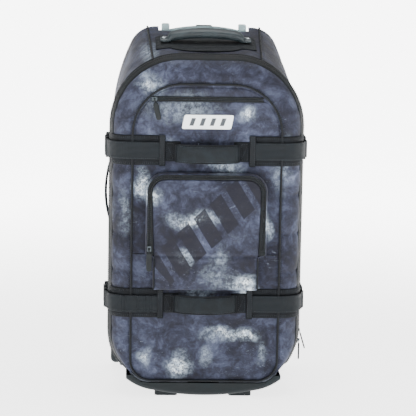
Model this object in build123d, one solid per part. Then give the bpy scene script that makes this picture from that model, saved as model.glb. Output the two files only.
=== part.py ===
"""Upright rolling duffel bag, built as an assembly of separate pieces.

X runs across the bag, Y from its front (negative) to its back, Z up from the floor.
The soft body is a set of sewn panels round one main compartment. Its front lid carries two
pockets, two strap bands and two carry handles, is closed by a zip that runs up both sides and
over the arched top, and folds down about the foot of the bag. A two-tube trolley handle runs
up the back, and the bag stands on two wheels at the back and two feet at the front.
Every length is in millimetres.
"""

from build123d import *
import math
import os

# ---- driving dimensions -------------------------------------------------------------------
HALF_WIDTH = 208.0        # half the width of the soft body
FRONT_Y = -154.0          # outer face of the lid
ZIP_Y = -96.0             # plane of the main zip
BACK_Y = 166.0            # outer face of the back panel
FLOOR_Z = 20.0            # outside of the fabric under the bag
LID_BOTTOM_Z = 35.0       # lower edge of the lid
ZIP_TOP_Z = 749.0         # top of the arch at the zip
REAR_TOP_Z = 797.0        # top of the arch at the back
FRONT_ARCH_R = 150.0      # shoulder radius at the zip
REAR_CORNER_R = 62.0      # tight top corner at the back
REAR_SIDE_R = 446.0       # long curve from that corner down the side
REAR_TURN = 25.0          # angle at which one gives way to the other
ZIP_LOWER_R = 112.0       # lower corners at the zip
REAR_LOWER_R = 66.0       # lower corners at the back
SKIN = 4.0                # fabric, foam and lining together
LID_EDGE_R = 42.0         # rounding between the lid's face and its sides
LID_TOP_DROP = 52.0       # how far that rounding brings the lid's top down
LID_FACE_LOWER_R = 42.0   # lower corners of the lid's face
GAP = 0.3                 # air between laid-on pieces

BAND_H = 66.0             # height of the wide black bands
STRAP_H = 38.0            # webbing width
UPPER_BAND_Z = 549.0
LOWER_BAND_Z = 212.0
BAND_INNER_X = 92.0       # where a band stops, either side of the handle
BAND_T = 1.6
STRAP_T = 1.8
STRAP_LIFT = 5.8          # the strap runs over the piping and stands this far off the lid

HINGE_Y = -157.0          # the fold that the lid turns about, in the front piping
HINGE_Z = 37.8

POCKET_HALF = 130.0       # centre pocket, outside
POCKET_LOWER_HALF = 113.0 # below the ends of its zip
POCKET_TOP_Z = 500.0
POCKET_FOLD_Z = 322.0     # where its zip ends and its flap folds
POCKET_DEPTH = 24.0
POCKET_R = 40.0
POCKET_ZIP_W = 12.0
POCKET_WALL = 3.0

PIPING_R = 2.5
PIPING_HALF = 162.0
PIPING_TOP_Z = 693.0
PIPING_BOTTOM_Z = 35.3
PIPING_ARCH_R = 107.0

UPPER_ZIP_Z = 661.0
BADGE_Z = 612.0

TUBE_X = 88.0             # trolley tubes, either side of the middle
TUBE_Y = 141.0
TUBE_OUT = (20.0, 14.0)
TUBE_IN = (16.0, 10.0)
TUBE_WALL = 1.2
TUBE_BOTTOM_Z = 122.0
CUP_FLOOR_Z = 770.0       # floor of the cup that the trolley grip parks in
CUP_TOP_Z = 788.0
POST_TOP_Z = 805.0
BAR_TOP_Z = 800.5

WHEEL_R = 42.0
WHEEL_WIDTH = 26.0
WHEEL_X = 172.0
WHEEL_Y = 146.0
AXLE_R = 4.0
BEARING_R = 11.0
BEARING_WIDTH = 7.0
BEARING_PLAY = 0.03       # radial running clearance on the axle

FOOT_X = 82.0
FOOT_Y = -124.0
FOOT_SIZE = (50.0, 34.0, 14.0)

BUCKLE_OUT = 3.2          # gap between the body's side and a buckle
SOCKET_LENGTH = 40.0
SOCKET_HALF = 26.0
SOCKET_THICK = 10.0
SOCKET_MOUTH_Y = -82.0

PARTS = {}


def keep(name, *solids):
    """Files one or more solids under a node's name."""
    flat = []
    for piece in solids:
        flat.extend(piece.solids())
    PARTS[name] = Compound(children=flat) if len(flat) > 1 else flat[0]


def block(x0, x1, y0, y1, z0, z1):
    """A box from its lowest to its highest corner."""
    centre = ((x0 + x1) / 2, (y0 + y1) / 2, (z0 + z1) / 2)
    return Pos(*centre) * Box(abs(x1 - x0), abs(y1 - y0), abs(z1 - z0))


def both(solid):
    """A solid and its mirror image across the bag's middle."""
    return [solid, mirror(solid, about=Plane.YZ)]


def arch(y, half, bottom, top, r_bottom, r_corner, r_side=None, turn=REAR_TURN):
    """A face across the bag at y. Each lower corner is one arc, each upper corner two.

    The long arc leaves the straight side, turns through the given angle, and hands over to the
    corner arc. Equal radii make the two one circle.
    """
    r_side = r_side or r_corner
    a = math.radians(turn)
    side_z = top - r_corner - (r_side - r_corner) * math.sin(a)
    side_x = half - r_side
    join = (side_x + r_side * math.cos(a), side_z + r_side * math.sin(a))
    corner = (side_x + (r_side - r_corner) * math.cos(a), top - r_corner)

    def on(centre, radius, angle):
        return (centre[0] + radius * math.cos(angle), centre[1] + radius * math.sin(angle))

    low = (half - r_bottom, bottom + r_bottom)
    right = [
        Line((half, low[1]), (half, side_z)),
        ThreePointArc((half, side_z), on((side_x, side_z), r_side, a / 2), join),
        ThreePointArc(join, on(corner, r_corner, (a + math.pi / 2) / 2), (corner[0], top)),
    ]
    foot = ThreePointArc((low[0], bottom), on(low, r_bottom, -math.pi / 4), (half, low[1]))
    outline = [foot] + right + [Line((corner[0], top), (-corner[0], top))]
    outline += [mirror(edge, about=Plane.YZ) for edge in reversed(right)]
    outline += [mirror(foot, about=Plane.YZ), Line((-low[0], bottom), (low[0], bottom))]
    return Plane.XZ.offset(-y) * make_face(Wire([e for part in outline for e in part.edges()]))


def zip_outline(y, off=0.0, bottom=FLOOR_Z):
    """The body's outline at the main zip, grown by off."""
    return arch(y, HALF_WIDTH + off, bottom - off, ZIP_TOP_Z + off, ZIP_LOWER_R + off, FRONT_ARCH_R + off)


def rear_outline(y, off=0.0):
    """The body's outline at its back, grown by off."""
    return arch(y, HALF_WIDTH + off, FLOOR_Z - off, REAR_TOP_Z + off, REAR_LOWER_R + off,
                REAR_CORNER_R + off, REAR_SIDE_R + off)


def body_solid(inset):
    """The body behind the zip, shrunk by inset on every side but its two ends."""
    return loft([zip_outline(ZIP_Y, -inset), rear_outline(BACK_Y, -inset)], ruled=True)


def lid_solid(inset, back=ZIP_Y):
    """The lid as a full block, shrunk by inset, rounded towards its face in short steps."""
    sections = [arch(back, HALF_WIDTH - inset, LID_BOTTOM_Z + inset, ZIP_TOP_Z - inset,
                     ZIP_LOWER_R - inset, FRONT_ARCH_R - inset)]
    for step in range(9):
        t = math.radians(90 * step / 8)
        fall = 1 - math.cos(t)
        radius = LID_EDGE_R - inset
        y = FRONT_Y + LID_EDGE_R - radius * math.sin(t)
        sections.append(arch(
            y,
            HALF_WIDTH - inset - radius * fall,
            LID_BOTTOM_Z + inset,
            ZIP_TOP_Z - inset - (LID_TOP_DROP - inset) * fall,
            ZIP_LOWER_R - inset - (ZIP_LOWER_R - LID_FACE_LOWER_R) * fall,
            FRONT_ARCH_R - inset - radius * fall,
        ))
    return loft(sections, ruled=True)


def wrap(z, height, near, far, x_inner, y_end):
    """A strap laid round both front corners of the lid, from x_inner out and back to y_end."""
    def footprint(off):
        depth = y_end - FRONT_Y + off
        wide = 2 * (HALF_WIDTH + off)
        plate = Pos(0, FRONT_Y - off + depth / 2) * Rectangle(wide, depth)
        return fillet(plate.vertices().group_by(Axis.Y)[0], LID_EDGE_R + off)

    ring = footprint(far) - footprint(near)
    strap = Pos(0, 0, z - height / 2) * extrude(ring, amount=height)
    middle = block(-x_inner, x_inner, FRONT_Y - 40, FRONT_Y + 10, z - height, z + height)
    return strap - middle


# ---- soft body: four sewn panels, lid, pockets --------------------------------------------
def wheel_well_block(side, grow=0.0):
    """The room that a wheel housing takes out of a lower back corner."""
    inner = WHEEL_X - 25 - grow
    return block(side * inner, side * (HALF_WIDTH + 20), 97 - grow, BACK_Y + 20, -5, 108 + grow)


def seam_slab(side, near, far):
    """A slanting slab across the top seam, between two distances from the seam's middle."""
    front, back = 117.0, 130.0
    plan = Polyline((side * (front + near), ZIP_Y - 30), (side * (front + far), ZIP_Y - 30),
                    (side * (back + far), BACK_Y + 30), (side * (back + near), BACK_Y + 30), close=True)
    return extrude(make_face(plan), amount=500).moved(Location((0, 0, 500)))


def make_body():
    shell = body_solid(0) - body_solid(SKIN)
    shell -= block(-300, 300, BACK_Y - 4, BACK_Y + 4, -10, 900)
    # the trolley handle's cup is let into the top of the back edge
    shell -= block(-104, 104, TUBE_Y - 16, BACK_Y + 5, CUP_FLOOR_Z - 8, 900)
    for side in (-1, 1):
        shell -= wheel_well_block(side, GAP)
    seam_x = 122.0
    keep("top_panel", shell & (Pos(0, 0, 700) * Box(260, 300, 400)) - seam_slab(1, -0.15, 200) - seam_slab(-1, -0.15, 200))
    keep("bottom_panel", shell & block(-seam_x, seam_x, -200, 200, 0, 100))
    sides = shell - block(-seam_x - GAP, seam_x + GAP, -200, 200, 0, 100)
    keep("left_gusset", (sides & block(-300, 0, -200, 200, 0, 500)) + (sides & seam_slab(-1, 0.15, 300)))
    keep("right_gusset", (sides & block(0, 300, -200, 200, 0, 500)) + (sides & seam_slab(1, 0.15, 300)))


def make_back():
    panel = body_solid(0) & block(-300, 300, BACK_Y - 3.6, BACK_Y + 20, 0, 900)
    panel -= block(-104, 104, 100, 200, CUP_FLOOR_Z - 8, 900)
    y = TUBE_Y - 9
    liner = extrude(rear_outline(y), amount=2.5, dir=(0, -1, 0)) & body_solid(SKIN + 1)
    liner -= block(-104, 104, 100, 200, CUP_FLOOR_Z - 10, 900)
    for side in (-1, 1):
        panel -= wheel_well_block(side, GAP)
        liner -= wheel_well_block(side, GAP)
    keep("back_panel", panel)
    keep("back_liner", liner)


def base_section(y, off):
    """The base guard's section: a shallow keel between two corners that follow the body."""
    cx, cz, r = HALF_WIDTH - ZIP_LOWER_R, FLOOR_Z + ZIP_LOWER_R, ZIP_LOWER_R + 7 - off
    x0, x1 = 112.0, 171.0 - off

    def z_at(x):
        return cz - math.sqrt(r**2 - (x - cx)**2)

    mid = (x0 + x1) / 2
    right = ThreePointArc((x0, z_at(x0)), (mid, z_at(mid)), (x1, z_at(x1)))
    keel = ThreePointArc((-x0, z_at(x0)), (0, 3.0 + off), (x0, z_at(x0)))
    wall = Line((x1, z_at(x1)), (x1, 70))
    edges = [keel, right, wall, Line((x1, 70), (-x1, 70)), mirror(wall, about=Plane.YZ), mirror(right, about=Plane.YZ)]
    return Plane.XZ.offset(-y) * make_face(Wire([e for part in edges for e in part.edges()]))


def make_base():
    """A moulded guard under the bag, with a toe that comes up in front to the lid's fold."""
    toe_y = FRONT_Y - 2.5
    outer = extrude(base_section(108, 0), amount=108 - toe_y, dir=(0, -1, 0))
    front_edges = outer.edges().filter_by_position(Axis.Y, toe_y - 0.1, toe_y + 0.1).filter_by(lambda e: e.center().Z < 45)
    outer = fillet(front_edges, 9)
    outer -= extrude(base_section(110, 3.6), amount=110 - (toe_y + 4.5), dir=(0, -1, 0))
    outer -= lid_solid(-3.0, ZIP_Y + 1)
    outer -= extrude(arch(FRONT_Y + 2, PIPING_HALF + 4, LID_BOTTOM_Z - 2, PIPING_TOP_Z, 48, PIPING_ARCH_R),
                     amount=30, dir=(0, -1, 0))
    outer -= Pos(0, 0, LID_BOTTOM_Z - 1.0 + 20) * Box(2 * 140, 2 * (-toe_y + 20), 40)
    outer -= body_solid(-GAP)
    outer -= block(-300, 300, -300, 300, 49, 100)
    feet, screws = [], []
    length, depth, height = FOOT_SIZE
    for side in (-1, 1):
        foot = Pos(side * FOOT_X, FOOT_Y, height / 2) * Box(length, depth, height)
        foot = fillet(foot.edges().filter_by(Axis.Z), 8)
        foot -= extrude(base_section(110, -GAP), amount=400, dir=(0, -1, 0))
        for dx in (-14, 14):
            place = Pos(side * FOOT_X + dx, FOOT_Y, 0)
            foot -= place * Pos(0, 0, 1.2) * Cylinder(4.2, 2.8)
            foot -= place * Cylinder(2.1, 60)
            outer -= place * Cylinder(2.1, 60)
            screws.append(place * Pos(0, 0, 1.5) * Cylinder(3.8, 1.8) + place * Pos(0, 0, 8) * Cylinder(1.9, 12))
        feet.append(foot)
    for side in (-1, 1):
        for x in (159, 196):
            place = Pos(side * x, 0, 98)
            screws.append(place * Pos(0, BACK_Y + 1.2, 0) * Rot(90, 0, 0) * Cylinder(3.6, 1.8) +
                          place * Pos(0, BACK_Y - 4, 0) * Rot(90, 0, 0) * Cylinder(1.9, 10))
    keep("base_guard", outer)
    keep("front_feet", *feet)
    keep("base_screws", *screws)


def make_frame_hoop():
    """A steel hoop sewn in just behind the zip, which keeps the opening's shape."""
    loop = zip_outline(ZIP_Y + 9, -9).wire()
    keep("frame_hoop", bead(loop, 2.5))


def bead(path, radius):
    """A round bead along a closed or open wire."""
    return sweep(Plane(origin=path @ 0, z_dir=path % 0) * Circle(radius), path=path)


def piping_loop():
    """Middle line of the piping round the lid's face."""
    return arch(FRONT_Y - PIPING_R - GAP, PIPING_HALF, PIPING_BOTTOM_Z + PIPING_R, PIPING_TOP_Z, 46, PIPING_ARCH_R).wire()


def make_piping():
    keep("front_piping", bead(piping_loop(), PIPING_R))
    rear_bead = bead(rear_outline(BACK_Y + PIPING_R + 0.6, -3).wire(), PIPING_R)
    rear_bead -= block(-104, 104, 100, 200, CUP_FLOOR_Z - 8, 900)
    rear_bead -= block(-300, 300, 100, 200, -10, 111)
    ribs = body_solid(-GAP - 2 * PIPING_R) - body_solid(-GAP) - block(-300, 300, ZIP_Y - 20, ZIP_Y + 7, 0, 900)
    ribs -= block(-300, 300, -300, 300, 0, 600)
    ribs -= block(-300, 300, BACK_Y - 0.2, BACK_Y + 40, 0, 900)
    keep("body_piping", rear_bead, ribs & seam_slab(1, -PIPING_R, PIPING_R), ribs & seam_slab(-1, -PIPING_R, PIPING_R))


def make_lid():
    shell = lid_solid(0) - lid_solid(SKIN, ZIP_Y + 5)
    # between the zip's two ends the lid has no lower wall: it folds on the toe of the base
    shell -= block(-124, 124, FRONT_Y + SKIN, ZIP_Y + 5, LID_BOTTOM_Z - 5, LID_BOTTOM_Z + 14)
    keep("lid_shell", shell)

    # flat slash pocket inside the piping arch, its two layers lying together
    panel = arch(FRONT_Y - GAP, PIPING_HALF - 6, 400, PIPING_TOP_Z - 6, 3, PIPING_ARCH_R - 6)
    panel = extrude(panel, amount=2.0, dir=(0, -1, 0))
    panel -= block(-300, 300, -300, 0, 300, UPPER_BAND_Z + BAND_H / 2 + 2)
    slot = block(-122, 122, FRONT_Y - 10, FRONT_Y + 1, UPPER_ZIP_Z - 5.5, UPPER_ZIP_Z + 5.5)
    keep("upper_pocket", panel - slot)
    tape = block(-121, 121, FRONT_Y - 2.0, FRONT_Y - GAP, UPPER_ZIP_Z - 5.2, UPPER_ZIP_Z + 5.2)
    coil = block(-121, 121, FRONT_Y - 3.0, FRONT_Y - 2.0, UPPER_ZIP_Z - 2, UPPER_ZIP_Z + 2)
    keep("upper_pocket_zip", tape + coil)

    lean, half_w, half_h = 5.0, 50.0, 15.5
    plate = Polyline((-half_w - lean, BADGE_Z - half_h), (half_w - lean, BADGE_Z - half_h),
                     (half_w + lean, BADGE_Z + half_h), (-half_w + lean, BADGE_Z + half_h), close=True)
    face = make_face(plate)
    face = fillet(face.vertices(), 4)
    keep("badge", extrude(Plane.XZ.offset(-(FRONT_Y - 2.6)) * face, amount=1.6, dir=(0, -1, 0)))


def pocket_outline(y, inset, bottom):
    """The centre pocket's outline, with round upper corners."""
    half = POCKET_HALF - inset
    top = POCKET_TOP_Z - inset
    face = Rectangle(2 * half, top - bottom)
    face = fillet(face.vertices().group_by(Axis.Y)[-1], POCKET_R - inset)
    return Plane.XZ.offset(-y) * Pos(0, (top + bottom) / 2) * face


def make_centre_pocket():
    wall = POCKET_WALL
    bottom = LOWER_BAND_Z + BAND_H / 2 + 1
    root = FRONT_Y - GAP
    front = FRONT_Y - POCKET_DEPTH
    shelf = POCKET_FOLD_Z - 4
    lower = POCKET_LOWER_HALF
    box = extrude(pocket_outline(root, 0, shelf), amount=root - front, dir=(0, -1, 0))
    box += block(-lower, lower, front, root, bottom, shelf + 1)
    room = extrude(pocket_outline(root + 1, wall, shelf + wall), amount=root + 1 - front + 5, dir=(0, -1, 0))
    room += block(-lower + wall, lower - wall, front - 5, root + 1, bottom + wall, shelf + 10)
    pouch = block(-lower, lower, front - wall, front, bottom, POCKET_FOLD_Z - 1.0)
    keep("pocket_frame", (box - room) + pouch)

    # the outer half of the zip is on the frame, the flap swings inside it
    ring = extrude(pocket_outline(front - GAP, 0.2, POCKET_FOLD_Z), amount=2.4, dir=(0, -1, 0))
    ring -= extrude(pocket_outline(front + 1, POCKET_ZIP_W, POCKET_FOLD_Z - 10), amount=6, dir=(0, -1, 0))
    keep("pocket_zip", ring)
    flap = extrude(pocket_outline(front - GAP, POCKET_ZIP_W + GAP, POCKET_FOLD_Z), amount=wall, dir=(0, -1, 0))
    keep("pocket_flap", flap)


# ---- main zip -----------------------------------------------------------------------------
def make_main_zip():
    def ring(y0, y1):
        outer = extrude(zip_outline(y1, 1.8, LID_BOTTOM_Z), amount=y1 - y0, dir=(0, -1, 0))
        inner = extrude(zip_outline(y1 + 1, GAP, LID_BOTTOM_Z), amount=y1 - y0 + 2, dir=(0, -1, 0))
        return outer - inner - block(-300, 300, -200, 200, 0, 62)

    keep("main_zip_lid_side", ring(ZIP_Y - 5, ZIP_Y - 0.2))
    keep("main_zip_body_side", ring(ZIP_Y + 0.2, ZIP_Y + 5) - body_solid(-GAP))


PIN_LIFT = 4.6            # height of a pull's pin above its slider's underside


def zip_slider(length, width):
    """A slider on z = 0: a plate, two ears and the pin across them. The pull hangs towards -y."""
    plate = Pos(0, 0, 1.1) * Box(width, length, 2.2)
    plate = fillet(plate.edges().filter_by(Axis.Z), 1.8)
    ears = [Pos(side * 3.1, 0, 3.9) * Box(1.2, 4.4, 5.0) for side in (-1, 1)]
    pin = Pos(0, 0, PIN_LIFT) * Rot(0, 90, 0) * Cylinder(0.7, 6.4)
    return plate + ears[0] + ears[1] + pin


def zip_pull(length, width, thick, swing=0.0, lean=0.0):
    """A moulded pull with a barrel round its slider's pin, swung out about the pin."""
    barrel = Rot(0, 90, 0) * (Cylinder(1.7, 4.7) - Cylinder(0.76, 6))
    neck = Pos(0, -5.4, 0) * Box(3.6, 8.0, 1.5)
    tab = Pos(0, -8.4 - length / 2, 0) * Box(width, length, thick)
    tab = fillet(tab.edges().filter_by(Axis.Z), width * 0.3)
    bore = Rot(0, 90, 0) * Cylinder(0.76, 8)
    hanging = Rot(0, 0, lean) * (neck + tab) if lean else neck + tab
    return Pos(0, 0, PIN_LIFT) * Rot(-swing, 0, 0) * ((barrel + hanging) - bore)


def make_zip_hardware():
    on_front = Rot(90, 0, 0)                     # local z to -Y, local y to Z
    on_right = Rot(0, 0, 90) * Rot(90, 0, 0)     # local z to +X, local y to Z
    spots = (
        ("upper_pocket", Pos(-116, FRONT_Y - 3.3, UPPER_ZIP_Z) * on_front, (8, 11), (38, 8.5, 3), 0, 13),
        ("pocket", Pos(-POCKET_HALF + 6.2, FRONT_Y - POCKET_DEPTH - 3.0, POCKET_FOLD_Z + 14) * on_front,
         (12, 9), (40, 9, 3), 0, 0),
        ("main_upper", Pos(HALF_WIDTH + 2.1, ZIP_Y, 142) * on_right, (12, 13), (36, 8, 3), 17, 0),
        ("main_lower", Pos(HALF_WIDTH + 2.1, ZIP_Y, 119) * on_right, (12, 13), (36, 8, 3), 0, 0),
    )
    for name, place, slider, pull, swing, lean in spots:
        keep(f"{name}_slider", place * zip_slider(*slider))
        keep(f"{name}_pull", place * zip_pull(*pull, swing=swing, lean=lean))


# ---- straps, bands, buckles and soft handles ----------------------------------------------
def buckle_socket(side, z):
    """The half of a side-release buckle that takes the plug, its mouth towards the front."""
    x0 = HALF_WIDTH + BUCKLE_OUT
    x1 = x0 + SOCKET_THICK
    y0, y1 = SOCKET_MOUTH_Y, SOCKET_MOUTH_Y + SOCKET_LENGTH
    body = block(x0, x1, y0, y1, z - SOCKET_HALF, z + SOCKET_HALF)
    body = fillet(body.edges().filter_by(Axis.Y), 3.0)
    room = block(x0 + 1.8, x1 - 1.8, y0 - 1, y0 + 27, z - 19.5, z + 19.5)
    windows = block(x0 - 1, x1 + 1, y0 + 9, y0 + 22, z + 13, z + 40)
    windows += block(x0 - 1, x1 + 1, y0 + 9, y0 + 22, z - 40, z - 13)
    slot = block(x0 - 1, x1 + 1, y1 - 9, y1 - 5, z - 19.5, z + 19.5)
    socket = body - room - windows - slot
    return socket if side > 0 else mirror(socket, about=Plane.YZ)


def buckle_plug(side, z):
    """The plug: a webbing bar and three prongs that taper together, so it can swing out."""
    x_mid = HALF_WIDTH + BUCKLE_OUT + SOCKET_THICK / 2
    mouth = SOCKET_MOUTH_Y
    thick = 3.2
    tip, root = 4.5, 15.0
    reach = 22.0
    outline = Polyline((mouth - 2.5, -root - 1), (mouth, -root), (mouth + reach, -tip), (mouth + reach, tip),
                       (mouth, root), (mouth - 2.5, root + 1), close=True)
    face = make_face(outline)
    for sign in (-1, 1):
        gap = Polyline((mouth + 3, sign * 3.0), (mouth + reach + 1, sign * 1.6), (mouth + reach + 1, sign * 2.6),
                       (mouth + 3, sign * 7.5), close=True)
        face -= make_face(gap)
    arrow = Plane(origin=(x_mid - thick / 2, 0, z), x_dir=(0, 1, 0), z_dir=(1, 0, 0)) * face
    prongs = extrude(arrow, amount=thick, dir=(1, 0, 0))
    bar = block(x_mid - 4, x_mid + 4, mouth - 15, mouth - 2, z - 21.5, z + 21.5)
    bar = fillet(bar.edges().filter_by(Axis.Z), 1.5)
    bar -= block(x_mid - 10, x_mid + 10, mouth - 11.5, mouth - 7.5, z - 19.2, z + 19.2)
    plug = bar + prongs
    return plug if side > 0 else mirror(plug, about=Plane.YZ)


def make_straps():
    bands, straps, sockets, plugs, rear, bindings = [], [], [], [], [], []
    groove = bead(piping_loop(), PIPING_R + GAP)
    outside = HALF_WIDTH + BUCKLE_OUT + SOCKET_THICK / 2
    for z in (UPPER_BAND_Z, LOWER_BAND_Z):
        bands.append(wrap(z, BAND_H, GAP, GAP + BAND_T, BAND_INNER_X, ZIP_Y - 6) - groove)
        straps.append(wrap(z, STRAP_H, STRAP_LIFT, STRAP_LIFT + STRAP_T, BAND_INNER_X + 12.3, SOCKET_MOUTH_Y - 15.3))
        for side in (-1, 1):
            sockets.append(buckle_socket(side, z))
            plugs.append(buckle_plug(side, z))
            # an upright binding covers the end of each strap, and a flat tab holds the handle
            bindings.append(block(side * BAND_INNER_X, side * (BAND_INNER_X + 12), FRONT_Y - STRAP_LIFT - STRAP_T,
                                  FRONT_Y - GAP - BAND_T - GAP, z - BAND_H / 2 + 0.5, z + BAND_H / 2 - 0.5))
            bindings.append(block(side * 60, side * (BAND_INNER_X - GAP), FRONT_Y - GAP - BAND_T, FRONT_Y - GAP,
                                  z - 21, z + 21))
        y0 = SOCKET_MOUTH_Y + SOCKET_LENGTH - 3
        x0 = HALF_WIDTH + 0.8
        rear += both(block(x0, x0 + STRAP_T, y0, BACK_Y - 8, z - STRAP_H / 2, z + STRAP_H / 2))
    keep("strap_bands", *bands)
    keep("front_straps", *straps)
    keep("strap_bindings", *bindings)
    keep("buckle_sockets", *sockets)
    keep("buckle_plugs", *plugs)
    keep("rear_straps", *rear)


def bowed_profile(half, end_out, mid_out, thick):
    """A bowed bar seen from its edge, standing off the ground line."""
    outer = ThreePointArc((-half, end_out), (0, mid_out), (half, end_out))
    inner = ThreePointArc((half, end_out - thick), (0, mid_out - thick), (-half, end_out - thick))
    edges = [outer, Line((half, end_out), (half, end_out - thick)), inner, Line((-half, end_out - thick), (-half, end_out))]
    return make_face(Wire([e for part in edges for e in part.edges()]))


def make_handles():
    grips = []
    for z in (UPPER_BAND_Z - 5, LOWER_BAND_Z):
        profile = bowed_profile(70, 12.0, 36.0, 9.5)
        ground = Plane(origin=(0, FRONT_Y, z - 21), x_dir=(1, 0, 0), z_dir=(0, 0, 1))
        solid = extrude(ground * mirror(profile, about=Plane.XZ), amount=42)
        grips.append(fillet(solid.edges().group_by(Axis.Z)[0] + solid.edges().group_by(Axis.Z)[-1], 3.2))
    keep("front_handle_grips", *grips)

    # side handle on the left gusset, upright, for carrying the bag on its side
    profile = bowed_profile(66, 5.5, 15.0, 5.0)
    ground = Plane(origin=(-HALF_WIDTH, 4, 440), x_dir=(0, 0, 1), z_dir=(0, -1, 0))
    bow = extrude(ground * profile, amount=32)
    pads = [block(-HALF_WIDTH - 5.5, -HALF_WIDTH - GAP, -30, 6, 440 + side * 64, 440 + side * 84) for side in (-1, 1)]
    keep("side_handle", bow + pads[0] + pads[1])

    tab = block(HALF_WIDTH + GAP, HALF_WIDTH + 5.5, -30, 2, 336, 378)
    keep("right_pull_tab", fillet(tab.edges().filter_by(Axis.Y), 2.2))


def top_slope_z(y):
    """Height of the top panel's middle line at y."""
    return ZIP_TOP_Z + (REAR_TOP_Z - ZIP_TOP_Z) * (y - ZIP_Y) / (BACK_Y - ZIP_Y)


def make_top_handle():
    """A rubber grip riveted through a webbing patch, with a finger lobe towards the front."""
    y = 20.0
    tilt = math.degrees(math.atan2(REAR_TOP_Z - ZIP_TOP_Z, BACK_Y - ZIP_Y))
    ground = Pos(0, y, top_slope_z(y) + 0.4) * Rot(tilt, 0, 0)
    cover = body_solid(-GAP - 2.0) - body_solid(-GAP)
    edges_x = 112.0
    plan = Rectangle(2 * edges_x, 100) + Pos(0, -50) * Ellipse(78, 28)
    patch = cover & (Pos(0, y, 500) * extrude(plan, amount=400))
    base_rivets = []
    for side in (-1, 1):
        patch -= ground * Pos(side * 92, 0, 0) * Cylinder(2.7, 30)
    keep("top_handle_base", patch)

    grip = ground * Pos(0, 17, 0) * extrude(Plane.XZ * bowed_profile(80, 26.0, 36.0, 17.0), amount=34)
    ends = [ground * Pos(side * 86, 0, 6.6) * Box(32, 34, 7.0) for side in (-1, 1)]
    risers = [ground * Pos(side * 75.5, 0, 12.0) * Box(11, 34, 17.8) for side in (-1, 1)]
    grip = grip + ends[0] + ends[1] + risers[0] + risers[1]
    for side in (-1, 1):
        grip -= ground * Pos(side * 92, 0, 5) * Cylinder(2.7, 30)
    keep("top_handle_grip", grip)
    for side in (-1, 1):
        head = Pos(side * 92, 0, 11.4) * Cylinder(5.0, 2.2)
        shank = Pos(side * 92, 0, 5.3) * Cylinder(2.5, 10.2)
        base_rivets.append(ground * (head + shank))
    keep("top_handle_rivets", *base_rivets)


# ---- trolley handle -----------------------------------------------------------------------
def tube(x, size, wall, z0, z1):
    """An upright rectangular tube with rounded corners."""
    outer = RectangleRounded(size[0], size[1], 2.5) - RectangleRounded(size[0] - 2 * wall, size[1] - 2 * wall, 1.3)
    return Pos(x, TUBE_Y, z0) * extrude(outer, amount=z1 - z0)


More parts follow.
